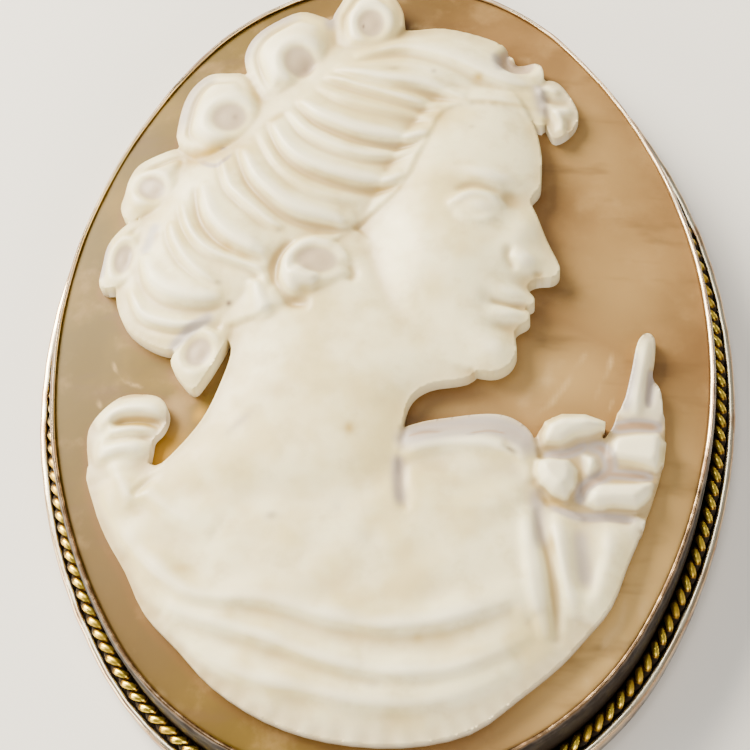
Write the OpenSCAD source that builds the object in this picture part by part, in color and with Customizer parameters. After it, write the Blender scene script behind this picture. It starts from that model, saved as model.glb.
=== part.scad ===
// A shell cameo in an oval gold setting: a brooch that can also hang from a chain.
// The carved face points up, +Z, the head points to +Y, and the back rests on Z = 0.
// Every "out" distance is measured outward from the opening that the shell fills.

/* [Oval] */
// Width of the opening
opening_w = 37; // [36:0.5:39]
// Height of the opening
opening_h = 49.2; // [48:0.2:51]
// How far the widest line lies below the middle, which makes the oval a little egg shaped
egg_drop = 0.7; // [0:0.1:1.2]
// Radius of the long arcs at the two sides
side_r = 30.9; // [29:0.1:33]

/* [Shell] */
// Height of the shell's edge, under the lip
shell_edge_z = 5.2; // [5:0.1:5.3]
// Rise of the dome from its edge to its middle
dome_rise = 1.9; // [1.2:0.1:2.4]
// Thickness of the shell at its middle
shell_thick = 2.9; // [2.7:0.1:3]
// Clearance between the shell and the metal
shell_gap = 0.05; // [0.03:0.01:0.1]
// Width of one cell of the carved surface
cell = 0.5; // [0.5:0.05:0.8]

/* [Setting] */
// Thickness of the bezel wall
wall = 0.28; // [0.2:0.01:0.4]
// Height of the burnished lip over the back
lip_z = 5.62; // [5.5:0.02:5.8]
// How far the lip turns in over the shell
lip_over = 0.35; // [0.2:0.05:0.6]
// Height of the seat that carries the shell
seat_z = 2.5; // [2.2:0.1:2.7]
// Width of the seat
seat_w = 1.3; // [1:0.1:2]
// Height of the ledge that carries the twisted wire
ledge_z = 1.3; // [1.1:0.05:1.4]
// Outer edge of the rim, outward from the opening
rim_out = 1.6; // [1.6:0.05:1.9]
// Width of the rim
rim_w = 0.55; // [0.45:0.05:0.55]
// Height of the rim
rim_z = 1.6; // [1.5:0.05:1.8]

/* [Twisted wire] */
// Diameter over both strands
twist_d = 0.6; // [0.5:0.02:0.62]

/* [Bail] */
// Radius of the eye that the chain passes through
eye_r = 1.7; // [1.4:0.1:1.8]
// Thickness of the band round the eye
band = 0.55; // [0.4:0.05:0.6]
// Width of the band
band_w = 1.8; // [1.2:0.1:2.4]

/* [Pin] */
// Diameter of the pin stem
stem_d = 0.8; // [0.6:0.05:0.9]
// How far above the middle the pin lies
pin_y = 6; // [2:0.5:7]

/* [Hidden] */
$fn = 96;
SHELL_CREAM = "#EFEBDD";
ROSE_GOLD = "#C9A06C";
YELLOW_GOLD = "#C8A84A";
half_w = opening_w / 2;
half_h = opening_h / 2;
fit = min(opening_w / 37, opening_h / 49.2);

// The egg is four arcs that meet tangent. These are the end radii that make them do so.
function end_r(reach) =
    (2 * side_r * half_w - half_w * half_w - reach * reach) / (2 * (side_r - reach));
foot_r = end_r(half_h - egg_drop);
head_r = end_r(half_h + egg_drop);
foot_y = -(half_h - foot_r);
head_y = half_h - head_r;
side_x = side_r - half_w;
foot_turn = atan2(foot_y + egg_drop, side_x);
head_turn = atan2(head_y + egg_drop, side_x);

// The dome is part of a ring shape: round across with one radius, along with a larger one
across_r = (half_w * half_w + dome_rise * dome_rise) / (2 * dome_rise);
along_r = (half_h * half_h + dome_rise * dome_rise) / (2 * dome_rise);
dome_top = shell_edge_z + dome_rise;
dome_axis = dome_top - along_r;
function dome(x, y) =
    let (r = along_r - across_r + sqrt(across_r * across_r - x * x))
    dome_axis + sqrt(r * r - y * y);

// The four arcs of the egg: middle, radius, first angle, turn
side_turn = head_turn - foot_turn;
ARCS = [
    [[-side_x, -egg_drop], side_r, foot_turn, side_turn],
    [[0, head_y], head_r, head_turn, 180 - 2 * head_turn],
    [[side_x, -egg_drop], side_r, 180 - head_turn, side_turn],
    [[0, foot_y], foot_r, 180 - foot_turn, 180 + 2 * foot_turn]];

bail_r = eye_r + band;
bail_y = half_h + rim_out + bail_r - 0.4;
bail_z = bail_r + 0.15;
middle_y = (bail_y + bail_r - half_h - rim_out) / 2;

// Smooth curves through a few points
function bend(a, b, c, d, t) =
    0.5 * (2 * b + (c - a) * t + (2 * a - 5 * b + 4 * c - d) * t * t
    + (3 * b - a - 3 * c + d) * t * t * t);
function ring(p, per = 4) =
    let (n = len(p))
    [for (i = [0 : n - 1]) for (k = [0 : per - 1])
        bend(p[(i + n - 1) % n], p[i], p[(i + 1) % n], p[(i + 2) % n], k / per)];
function path(p, per = 5) =
    let (n = len(p), q = concat([2 * p[0] - p[1]], p, [2 * p[n - 1] - p[n - 2]]))
    concat([for (i = [0 : n - 2]) for (k = [0 : per - 1])
        bend(q[i], q[i + 1], q[i + 2], q[i + 3], k / per)], [p[n - 1]]);
function ease(t) = let (u = min(max(t, 0), 1)) u * u * (3 - 2 * u);
function total(v) = len(v) == 0 ? 0 : [for (x = v) 1] * v;
function turned(q, a) = [q.x * cos(a) + q.y * sin(a), q.y * cos(a) - q.x * sin(a)];

// Head: a place and a turn. The face is drawn in the head's own directions, forward and up
// from the chin, in a third of 6 from chin to nose, nose to brow and brow to hair.
CHIN = [7.4, -3];
HEAD_TURN = -7.5;
function on_head(p) = CHIN + turned(p, -HEAD_TURN);
function from_head(q) = turned(q - CHIN, HEAD_TURN);
HEAD = [[-2.4, 18.4], [-0.7, 16.4], [0.05, 14.4], [0.25, 12.9], [0.25, 11.9], [-0.15, 11],
    [0.4, 9.8], [1.1, 8.4], [1.75, 7.3], [1.95, 6.75], [1.65, 6.25], [0.8, 6], [0.35, 5.65],
    [0.4, 5.15], [0.75, 4.75], [0.72, 4.4], [0.3, 4.12], [0.6, 3.8], [0.58, 3.35],
    [-0.05, 2.75], [0.05, 2], [0.15, 1.3], [-0.2, 0.5], [-1.1, 0], [-2.8, 0.15], [-5, 0.75],
    [-7, 1.9], [-8.8, 3.8], [-9.8, 6.4], [-10.2, 10], [-8.8, 14.5], [-5.6, 17.8]];

// Masses of the carving: height at the edge, rise to the middle, run of the rise, outline
bust_foot = [for (a = [-180 : 10 : 0]) [15.6 * cos(a), -6.2 + 16.7 * sin(a)]];
BUST = [0.7, 0.75, 2.6, concat(bust_foot, path([[15.2, -6.4], [12.5, -6.6], [10, -6.2],
    [8.5, -6.4], [3, -7], [-2, -7], [-8, -6.5], [-12, -7.6], [-14, -6], [-15.2, -6]], 2))];
SLEEVE = [0.6, 0.7, 1.3, ring([[0.9, -6.8], [2.2, -5.7], [4.2, -5.3], [6.6, -5.15],
    [8, -5.7], [9.2, -7], [10, -9.5], [8.5, -12.6], [3.5, -13], [0.4, -10.8]])];
KNOT = [0.7, 0.65, 1, ring([[-15.9, -6.4], [-15.5, -5], [-14.2, -3.9], [-12.6, -3.8],
    [-11, -4.4], [-10.3, -5.4], [-10.6, -6.6], [-11.8, -8.4], [-13.2, -9.6], [-15, -9.4]])];
BUD = [0.55, 0.5, 0.6, ring([[13.15, -5.3], [13.8, -3.6], [14.3, -2], [14.55, -0.5],
    [15, -0.15], [15.35, -0.7], [15.2, -2.2], [15.55, -3.6], [15.35, -5.5], [14.3, -6.2]])];
NECK = [0.85, 0.95, 2.4, ring([[-8, -1], [-8.5, -3], [-9.5, -5.2], [-11.2, -7.2],
    [-13, -8.7], [-13, -10.6], [-9.5, -12.8], [-4, -14], [0.8, -13], [1.7, -10.6],
    [1.3, -8.4], [1.5, -6.2], [1.9, -4.4], [3, -3.5], [5.4, -2.9], [5.6, -0.6], [2, 2.6],
    [-2, 6.5], [-7.4, 4], [-8.6, 0.6]])];
FACE = [0.95, 1.25, 2.2, ring([for (p = HEAD) on_head(p)])];
HAIR = [0.85, 1.1, 2.4, ring([[9.4, 14.9], [9.3, 16.2], [7.7, 18.1], [6.4, 19.6],
    [3.8, 20.3], [1.4, 20.1], [-2.5, 20.6], [-6.2, 18.2], [-9.4, 14.4], [-12.4, 10.6],
    [-14.2, 6.6], [-14.9, 3.4], [-14.3, 1], [-12.6, -0.5], [-10.8, -0.9], [-8.6, 0.2],
    [-6.4, 0.8], [-4.6, 2], [-2.6, 4.4], [-0.2, 6.3], [1.2, 8.6], [2.3, 11.2],
    [3.4, 13.6], [6.2, 14.7]])];

// Ridges of the dress: lift, half width, line
FOLDS = [
    [0.26, 0.60, [[-14.9, -9.4], [-13.6, -13], [-11, -16], [-7.6, -18.6]]],
    [0.24, 0.60, [[-13.9, -9.8], [-12, -13.2], [-9.4, -15.6], [-5.4, -17]]],
    [0.30, 0.60, [[-12.6, -12], [-9.6, -15], [-5.6, -16.9], [-1, -18.1], [4, -17.7], [8.6, -15.2]]],
    [0.30, 0.55, [[-11.4, -15.2], [-7, -18], [-3, -19.2], [1.5, -19.6], [6, -18.6], [9.8, -16.6]]],
    [0.22, 0.60, [[-9, -18.2], [-4.6, -20.4], [0.5, -21.1], [5.5, -20.4], [9.4, -18]]],
    [0.20, 0.70, [[-13.2, -9.2], [-9.6, -12.4], [-4.5, -14.4], [0.5, -15], [5, -14.2], [8.6, -11.6]]],
    [0.45, 0.55, [[8.7, -8.8], [8.5, -12], [9, -15.2], [9.9, -18.6]]],
    [0.45, 0.55, [[10.5, -9.6], [10.3, -13], [10.9, -16.6]]],
    [0.30, 0.75, [[12.6, -10.2], [12.6, -12.8], [11.8, -16]]],
    [0.25, 0.35, [[1.6, -6.9], [3.2, -6.2], [6.6, -6], [8.4, -6.9]]],
    [0.35, 0.40, [[-15.4, -5.8], [-13.9, -4.5], [-12.2, -4.4], [-10.8, -5.3]]],
    [0.35, 0.45, [[-15.6, -7], [-14, -6.1], [-12, -6.3]]]];

// Petals of the flower at the shoulder: middle, half length, half width, turn, height
PETALS = [
    [[10.5, -6], 1.95, 0.95, 8, 1.75],
    [[14, -6.95], 1.75, 1.15, -4, 1.7],
    [[9.6, -8.4], 1.75, 0.95, -57, 1.85],
    [[12.8, -9.35], 2.1, 0.95, 4, 1.75],
    [[11.6, -7.5], 1.15, 0.85, 30, 2.05]];

// Locks of the hair, combed back from the brow: lift, half width, line
LOCKS = [
    [0.50, 1.10, [[0.4, 19.3], [3.2, 19.6], [5.8, 19], [7.9, 17.3]]],
    [0.50, 1.05, [[-0.6, 18.4], [2.6, 18.3], [5.6, 17.5], [8.4, 16.4]]],
    [0.55, 1.00, [[-2.6, 17.9], [0.6, 17.2], [4.6, 16.6], [9.2, 15.5]]],
    [0.55, 0.90, [[-3.3, 16.9], [-0.8, 15.9], [2.4, 15.4], [6.8, 15]]],
    [0.55, 0.85, [[-4, 15.9], [-2, 14.7], [0.6, 14], [3.9, 14.1]]],
    [0.60, 0.85, [[-4.8, 15.1], [-3, 13.4], [-0.6, 12.5], [3.1, 12.5]]],
    [0.60, 0.85, [[-5.6, 14.2], [-4, 12.1], [-1.6, 10.9], [2.4, 10.9]]],
    [0.60, 0.90, [[-6.4, 13.3], [-5, 10.8], [-2.6, 9.3], [1.6, 9.4]]],
    [0.65, 1.00, [[-7.2, 12.5], [-6.1, 9.6], [-3.9, 7.8], [-1.2, 7.2], [0.7, 8.1]]],
    [0.55, 0.95, [[-8.2, 11.5], [-7.5, 8.6], [-5.6, 6.5], [-3.2, 5.8], [-0.6, 6.3]]],
    [0.60, 1.05, [[-9.3, 10.8], [-9, 7.7], [-7.5, 5.6], [-4.9, 4.2]]],
    [0.60, 1.05, [[-10.4, 10], [-10.4, 6.9], [-9.1, 4.5], [-6.8, 2.6], [-5.9, 1.2]]],
    [0.45, 1.05, [[-11.6, 9.2], [-11.9, 6.4], [-11, 4.3], [-8.2, 2.2]]],
    [0.50, 0.95, [[-12.9, 7.6], [-13.2, 5], [-12.2, 3], [-9.6, 1.6]]],
    [0.55, 0.80, [[-13.9, 4.8], [-13.4, 2.4], [-12, 1.2], [-9.4, 0.7]]],
    [0.55, 0.75, [[-14.7, 2.8], [-13.7, 0.7], [-12.2, -0.3], [-9.9, -0.2]]]];

// Curls with a drilled eye: middle, radius, tail share, tail turn, eye, eye radius, height
CURLS = [
    [[-0.75, 20.3], 1.95, 0.30, -90, [-0.65, 20], 0.72, 2.45],
    [[-5.2, 18.3], 2.45, 0.55, -105, [-4.65, 17.6], 0.75, 2.6],
    [[-9.5, 14.4], 2.3, 0.35, -95, [-8.7, 14], 0.78, 2.55],
    [[-13.1, 9.6], 1.6, 0.45, 35, [-13.35, 9.6], 0.62, 2],
    [[-14.3, 5.2], 1.5, 0.50, 65, [-14.5, 5.1], 0.55, 1.9],
    [[-9.9, -1.4], 1.3, 0.75, 42, [-9.8, -1.35], 0.5, 1.8],
    [[-3.9, 3.9], 1.7, 0.45, -130, [-3.55, 4.2], 0.6, 2.75],
    [[8.1, 17.2], 1.25, 0.20, -150, [8.15, 17.5], 0.5, 1.8],
    [[10.1, 14.6], 1.2, 0.50, 120, [10.3, 14.9], 0.36, 1.5]];

// Soft forms of the face, in head directions: middle, half width, half height, turn, lift
FEATURES = [
    [[-2.9, 9.75], 1.3, 0.75, -5, 0.34], // eye
    [[-2.7, 11.9], 2.1, 0.6, -6, 0.3], // brow
    [[-0.3, 8.8], 0.8, 1.9, -20, 0.2], // side of the nose
    [[-4.4, 6.4], 2.9, 2.9, 0, 0.32], // cheek
    [[0, 6.8], 0.75, 0.65, 0, 0.32], // wing of the nose
    [[-0.3, 4.75], 1.15, 0.42, -12, 0.24], // upper lip
    [[-0.35, 3.5], 1, 0.42, 8, 0.24], // lower lip
    [[-0.9, 1.25], 1.2, 0.95, 0, 0.2], // chin
    [[-1.75, 4.1], 0.5, 0.6, 0, -0.14], // corner of the mouth
    [[-0.85, 2.65], 0.9, 0.35, 0, -0.14], // under the lip
    [[-1.3, 10.7], 0.7, 0.8, 20, -0.28]]; // inner corner of the eye

OUT = -1;
SOFT = 0.45;
blend = 0.25;

// A box round a few points, to leave out what is far from a point
function box(p, m) = [min([for (q = p) q.x]) - m, max([for (q = p) q.x]) + m,
    min([for (q = p) q.y]) - m, max([for (q = p) q.y]) + m];
function within(q, b) = q.x > b[0] && q.x < b[1] && q.y > b[2] && q.y < b[3];

// A mass with its box, its edges and the middles and lengths of its edges
function mass(m) =
    let (
        p = m[3],
        n = len(p),
        edges = [for (i = [0 : n - 1]) [p[i], p[(i + 1) % n]]],
        pulls = [for (e = edges) [(e[0] + e[1]) / 2, norm(e[1] - e[0])]]
    )
    [m[0], m[1], m[2], edges, pulls, box(p, 0.5)];
function crossed(q, edges) = len([for (e = edges)
    if ((e[0].y > q.y) != (e[1].y > q.y)
        && q.x < e[0].x + (e[1].x - e[0].x) * (q.y - e[0].y) / (e[1].y - e[0].y)) 1]) % 2 == 1;

// Smooth depth inside an outline: every edge pushes with the fourth power of its distance
function depth(q, pulls) =
    let (push = total([for (s = pulls)
        let (d = q - s[0]) s[1] / pow(d * d + SOFT * SOFT, 2)]))
    pow(PI / 2 / push, 1 / 3);
function pillow(q, m) =
    !within(q, m[5]) || !crossed(q, m[3]) ? OUT
    : m[0] + m[1] * (1 - exp(-depth(q, m[4]) / m[2]));

// Distance across a line, in half widths and to its left, and the share of it passed
function stroke(f) = let (p = path(f[2])) [f[0], f[1], p, box(p, 2 * f[1])];
function across(q, p, wide) =
    let (
        n = len(p) - 1,
        steps = [for (i = [0 : n - 1])
            let (
                e = p[i + 1] - p[i],
                d = q - p[i],
                t = min(max(d * e / (e * e), 0), 1),
                r = d - e * t
            )
            [norm(r), sign(e.x * r.y - e.y * r.x) / wide, (i + t) / n]],
        near = min([for (s = steps) s[0]]),
        best = [for (s = steps) if (s[0] == near) s][0]
    )
    [best[0] * best[1], best[2]];
function ends(t, steep) = sqrt(min(steep * t, 1) * min(steep * (1 - t), 1));
function fold(q, f) =
    !within(q, f[3]) ? 0
    : let (a = across(q, f[2], f[1]), s = a[0] > 0 ? a[0] / 1.9 : a[0] / 0.8)
      f[0] * exp(-s * s) * ends(a[1], 4);
function lock(q, f) =
    !within(q, f[3]) ? 0
    : let (
        a = across(q, f[2], f[1]),
        s = a[0] / (0.3 + 0.7 * sqrt(sin(180 * a[1]))) + 0.15
      )
      f[0] * pow(max(1 - s * s, 0), 0.75) * (1 - 0.25 * s) * ends(a[1], 6);
function petal(q, f) =
    let (d = turned(q - f[0], f[3]), u = d.x / f[1], v = d.y / f[2], r = u * u + v * v)
    r > 1 ? OUT : 0.7 + (f[4] - 0.7) * pow(1 - r, 0.4) - 0.16 * exp(-16 * v * v) * (1 - r);
function curl_edge(q, c) =
    let (d = q - c[0], a = atan2(d.y, d.x) - c[3])
    c[1] * (1 + c[2] * pow(max(cos(a), 0), 4));
function curl(q, c) =
    let (
        f = norm(q - c[0]) / curl_edge(q, c),
        k = norm(q - c[4]) / c[5],
        groove = 0.22 * exp(-pow((k - 2.05) / 0.28, 2)),
        hole = sqrt(max(1.15 - k, 0))
    )
    f > 1 ? OUT : 0.9 + (c[6] - 0.9) * sqrt(1 - pow(f, 3)) - groove - hole;
function in_eye(q, c) = norm(q - c[4]) < 1.15 * c[5];
function feature(h, f) =
    let (d = turned(h - f[0], f[3]), u = d.x / f[1], v = d.y / f[2])
    f[4] * exp(-1.2 * (u * u + v * v));
function melt(a, b) =
    let (t = min(max(0.5 + 0.5 * (a - b) / blend, 0), 1))
    min(a, b) < 0 ? max(a, b) : a * t + b * (1 - t) + blend * t * (1 - t);

cloth_masses = [for (m = [BUST, SLEEVE, KNOT, BUD]) mass(m)];
neck_mass = mass(NECK);
face_mass = mass(FACE);
hair_mass = mass(HAIR);
folds = [for (f = FOLDS) stroke(f)];
locks = [for (f = LOCKS) stroke(f)];

// Height of the carving over the ground at a point, or OUT beyond it
function dress(q) =
    let (h = max([for (m = cloth_masses) pillow(q, m)]))
    max(h < 0 ? OUT : h + max([for (f = folds) fold(q, f)]), max([for (f = PETALS) petal(q, f)]));
function neck(q) = let (h = pillow(q, neck_mass)) h < 0 ? OUT : h * (1 - 0.6 * ease((-7 - q.y) / 5.5));
function face(q) =
    let (h = pillow(q, face_mass), p = from_head(q))
    h < 0 ? OUT : h - 0.5 * ease((-5.5 - p.x) / 4) + total([for (f = FEATURES) feature(p, f)]);
function hair(q) =
    let (h = pillow(q, hair_mass))
    h < 0 ? OUT : h + max([for (f = locks) lock(q, f)]);
function carved(q) =
    let (
        body = melt(melt(dress(q), neck(q)), face(q)),
        curls = [for (c = CURLS) curl(q, c)],
        eyes = [for (i = [0 : len(CURLS) - 1]) if (curls[i] > 0 && in_eye(q, CURLS[i])) curls[i]]
    )
    len(eyes) > 0 ? eyes[0] : max(body, hair(q), max(curls));

// Signed distance to the outline of the whole carving, positive inside
function edge_distance(q, e) =
    let (s = e[1] - e[0], d = q - e[0], t = min(max(d * s / (s * s), 0), 1))
    norm(d - s * t);
function margin(q, m) =
    !within(q, m[5]) ? OUT
    : min([for (e = m[3]) edge_distance(q, e)]) * (crossed(q, m[3]) ? 1 : -1);
function petal_margin(q, f) =
    let (d = turned(q - f[0], f[3]))
    (1 - norm([d.x / f[1], d.y / f[2]])) * f[2];
masses = concat(cloth_masses, [neck_mass, face_mass, hair_mass]);
function inset(q) = max(
    max([for (m = masses) margin(q, m)]),
    max([for (f = PETALS) petal_margin(q, f)]),
    max([for (c = CURLS) curl_edge(q, c) - norm(q - c[0])]));

// Grid of the carved surface. Points near the outline slide onto it.
grid_low = [-16.5, -23.5];
cols = ceil(33 / cell);
rows = ceil(46.5 / cell);
function grid(i, j) = grid_low + cell * [i, j];
function slid(q) =
    let (
        m = inset(q),
        step = 0.05,
        g = [inset(q + [step, 0]) - m, inset(q + [0, step]) - m] / step,
        size = max(norm(g), 0.3),
        far = abs(m) / size > 0.5 * cell
    )
    far ? [q, m > 0 ? carved(q) : OUT]
    : let (r = q - g * m / (size * size), h = carved(r + 0.06 * g / size))
      [r, max(h, 0.55)];

module relief() {
    raw = [for (j = [0 : rows]) [for (i = [0 : cols]) carved(grid(i, j))]];
    spots = [for (j = [0 : rows]) [for (i = [0 : cols])
        let (
            near = [for (v = [max(j - 1, 0) : min(j + 1, rows)])
                for (u = [max(i - 1, 0) : min(i + 1, cols)]) raw[v][u] > 0 ? 1 : 0],
            some = total(near)
        )
        some == 0 || some == len(near) ? [grid(i, j), raw[j][i]] : slid(grid(i, j))]];
    wide = cols + 1;
    floor_z = 5;
    top = [for (line = spots) for (s = line)
        let (q = s[0] * fit) [q.x, q.y, dome(q.x, q.y) + max(s[1], 0)]];
    // Corners of a cell that are in use, in order round it
    corner = [[0, 0], [0, 1], [1, 1], [1, 0]];
    used = [for (j = [0 : rows - 1]) [for (i = [0 : cols - 1])
        let (
            c = [for (k = corner) if (spots[j + k.y][i + k.x][1] > 0) k],
            mid = total([for (k = c) spots[j + k.y][i + k.x][0]]) / max(len(c), 1)
        )
        len(c) > 2 && inset(mid) > 0 ? c : []]];
    function number(i, j, k) = (j + k.y) * wide + i + k.x;
    function holds(i, j, a, b) =
        i >= 0 && j >= 0 && i < cols && j < rows
        && len([for (k = used[j][i]) if (k == a || k == b) k]) == 2;
    tops = [for (j = [0 : rows - 1]) for (i = [0 : cols - 1])
        let (c = used[j][i], n = [for (k = c) number(i, j, k)])
        if (len(c) == 3) n
        else if (len(c) == 4) each
            abs(top[n[0]].z - top[n[2]].z) < abs(top[n[1]].z - top[n[3]].z)
            ? [[n[0], n[1], n[2]], [n[0], n[2], n[3]]]
            : [[n[0], n[1], n[3]], [n[1], n[2], n[3]]]];
    // Sides of the cells that no other cell shares, and the slanted sides of the corners
    rim = [for (j = [0 : rows - 1]) for (i = [0 : cols - 1])
        let (c = used[j][i], n = len(c))
        if (n > 2) for (k = [0 : n - 1])
            let (a = c[k], b = c[(k + 1) % n], out = [a.x + b.x - 1, a.y + b.y - 1])
            if (norm(b - a) > 1 || !holds(i + out.x, j + out.y, a - out, b - out))
                [number(i, j, a), number(i, j, b)]];
    start = rim[0][0];
    chain = [for (n = 0, v = start; n < len(rim); v = rim[search(v, rim)[0]][1], n = n + 1) v];
    base = len(top);
    low = [for (v = chain) [top[v].x, top[v].y, floor_z]];
    m = len(chain);
    walls = [for (k = [0 : m - 1])
        [chain[(k + 1) % m], chain[k], base + k, base + (k + 1) % m]];
    polyhedron(concat(top, low), concat(tops, walls, [[for (k = [m - 1 : -1 : 0]) base + k]]));
}

module placed() {
    translate([0, -middle_y, 0])
        children();
}

// The egg grown outward: both side discs between the ends' chords, and the two end discs
module egg(out) {
    foot_chord = foot_y + (foot_r + out) * sin(foot_turn);
    head_chord = head_y + (head_r + out) * sin(head_turn);
    intersection() {
        translate([side_x, -egg_drop])
            circle(r = side_r + out);
        translate([-side_x, -egg_drop])
            circle(r = side_r + out);
        translate([-opening_w, foot_chord])
            square([2 * opening_w, head_chord - foot_chord]);
    }
    translate([0, foot_y])
        circle(r = foot_r + out);
    translate([0, head_y])
        circle(r = head_r + out);
}
module egg_ring(in, out, low, high) {
    translate([0, 0, low])
        linear_extrude(high - low)
            difference() {
                egg(out);
                egg(in);
            }
}

// A slab whose upper face is the dome, with its middle at a height
module domed_slab(top_z) {
    deep = 12;
    swing = 11;
    translate([0, 0, top_z - along_r])
        rotate([0, 90, 0])
            rotate_extrude(start = 180 - swing, angle = 2 * swing)
                intersection() {
                    translate([along_r - across_r, 0])
                        circle(r = across_r, $fn = 720);
                    translate([along_r - deep, -opening_w])
                        square([deep + 1, 2 * opening_w]);
                }
}
module shell() {
    low = seat_z + shell_gap;
    difference() {
        intersection() {
            translate([0, 0, low])
                linear_extrude(dome_top + 1 - low)
                    egg(-shell_gap);
            domed_slab(dome_top);
        }
        domed_slab(dome_top - shell_thick);
    }
}
module cameo() {
    color(SHELL_CREAM)
        placed() {
            shell();
            relief();
        }
}

// The metal is stacked egg rings: seat, bezel wall, burnished lip, ledge and rim
module setting() {
    seat_t = 0.45;
    ledge_t = 0.65;
    lip_t = 0.25;
    rim_in = rim_out - rim_w;
    bead = rim_w / 4;
    bail_foot = [band_w, 1.2, 1.9];
    color(ROSE_GOLD)
        placed()
            difference() {
                union() {
                    egg_ring(-seat_w, wall / 2, seat_z - seat_t, seat_z);
                    egg_ring(0, wall, ledge_z - ledge_t, lip_z);
                    egg_ring(-lip_over, wall / 2, lip_z - lip_t, lip_z);
                    egg_ring(wall / 2, rim_out - rim_w / 2, ledge_z - ledge_t, ledge_z);
                    egg_ring(rim_in, rim_out, 0, rim_z - bead);
                    egg_ring(rim_in + bead, rim_out - bead, rim_z - 2 * bead, rim_z);
                    translate([-band_w / 2, bail_y, bail_z])
                        rotate([0, 90, 0])
                            cylinder(r = bail_r, h = band_w);
                    translate([-band_w / 2, half_h + rim_out - rim_w / 2, bail_z - bail_r])
                        cube(bail_foot);
                }
                translate([-band_w, bail_y, bail_z])
                    rotate([0, 90, 0])
                        cylinder(r = eye_r, h = 2 * band_w);
            }
}

// The two strands lie twisted together in a round tube of this outline
module twisted_wire() {
    clear = 0.07;
    sides = 8;
    step = 1.75;
    out = wall + clear + twist_d / 2;
    z = ledge_z + clear / 2 + twist_d / 2;
    route = [for (a = ARCS)
        let (r = a[1] + out, n = ceil(a[3] * PI / 180 * r / step))
        for (k = [0 : n - 1])
            let (t = a[2] + a[3] * k / n)
            [a[0].x + r * cos(t), a[0].y + r * sin(t), t]];
    n = len(route);
    points = [for (p = route) for (k = [0 : sides - 1])
        let (turn = 360 * k / sides, d = twist_d / 2 * cos(turn))
        [p.x + d * cos(p.z), p.y + d * sin(p.z), z + twist_d / 2 * sin(turn)]];
    faces = [for (i = [0 : n - 1]) for (k = [0 : sides - 1])
        let (j = (i + 1) % n, m = (k + 1) % sides)
        [i * sides + k, i * sides + m, j * sides + m, j * sides + k]];
    color(YELLOW_GOLD)
        placed()
            polyhedron(points, faces);
}

// Hinge foot, stem and catch, under the seat and above the level that the back rests on
module brooch_pin() {
    foot = [1.6, 2.6, 1.65];
    gap = 0.1;
    top = pin_y + foot.y / 2;
    reach = sqrt(side_r * side_r - pow(top + egg_drop, 2)) - side_x;
    foot_x = reach - foot.x - gap;
    low = 0.35;
    stem_z = low + 0.7;
    catch_r = 0.75;
    tip = 0.6;
    color(YELLOW_GOLD)
        placed()
            translate([0, pin_y, 0]) {
                for (x = [-foot_x - foot.x, foot_x])
                    translate([x, -foot.y / 2, low])
                        cube(foot);
                translate([-foot_x - foot.x / 2, 0, stem_z])
                    rotate([0, 90, 0])
                        cylinder(d = stem_d, h = 2 * foot_x + foot.x);
                translate([foot_x - tip, 0, stem_z])
                    rotate([0, 90, 0])
                        cylinder(r = catch_r, h = 2 * tip);
            }
}

cameo();
setting();
twisted_wire();
brooch_pin();
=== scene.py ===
import bpy
import numpy as np
from mathutils import Matrix


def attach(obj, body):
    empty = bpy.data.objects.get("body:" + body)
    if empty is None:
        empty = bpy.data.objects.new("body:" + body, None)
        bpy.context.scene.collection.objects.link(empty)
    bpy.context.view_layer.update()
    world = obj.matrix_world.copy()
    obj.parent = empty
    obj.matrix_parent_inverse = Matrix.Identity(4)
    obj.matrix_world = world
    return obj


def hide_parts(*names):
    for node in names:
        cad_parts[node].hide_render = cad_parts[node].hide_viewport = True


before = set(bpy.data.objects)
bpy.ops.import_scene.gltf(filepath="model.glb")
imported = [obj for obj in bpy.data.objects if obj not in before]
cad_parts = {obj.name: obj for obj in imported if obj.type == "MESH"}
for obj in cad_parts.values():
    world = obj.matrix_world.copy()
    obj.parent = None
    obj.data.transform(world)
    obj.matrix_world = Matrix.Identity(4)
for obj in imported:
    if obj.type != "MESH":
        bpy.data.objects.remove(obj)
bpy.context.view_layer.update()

# All lengths below are millimetres. The brooch is drawn about the middle of its opening,
# and its pieces are put MIDDLE_Y lower, where the CAD frame has them.
MM = 0.001
MIDDLE_Y = 2.05

# The egg and the dome
OPENING_W, OPENING_H = 37.0, 49.2
EGG_DROP = 0.7
SIDE_R = 30.9
SHELL_EDGE_Z, DOME_RISE, SHELL_THICK = 5.2, 1.9, 2.9
LIP_Z = 5.62

half_w, half_h = OPENING_W / 2, OPENING_H / 2


def end_radius(reach):
    """Radius of the end arc that meets the side arcs tangent at that reach from the drop."""
    return (2 * SIDE_R * half_w - half_w ** 2 - reach ** 2) / (2 * (SIDE_R - reach))


foot_r, head_r = end_radius(half_h - EGG_DROP), end_radius(half_h + EGG_DROP)
foot_y, head_y = foot_r - half_h, half_h - head_r
side_x = SIDE_R - half_w
foot_turn = np.arctan2(foot_y + EGG_DROP, side_x)
head_turn = np.arctan2(head_y + EGG_DROP, side_x)
across_r = (half_w ** 2 + DOME_RISE ** 2) / (2 * DOME_RISE)
along_r = (half_h ** 2 + DOME_RISE ** 2) / (2 * DOME_RISE)
dome_axis = SHELL_EDGE_Z + DOME_RISE - along_r


def dome(x, y):
    """Height of the shell's ground, a ring's skin: round with one radius across and a larger one along."""
    r = along_r - across_r + np.sqrt(across_r ** 2 - x * x)
    return dome_axis + np.sqrt(r * r - y * y)


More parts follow.
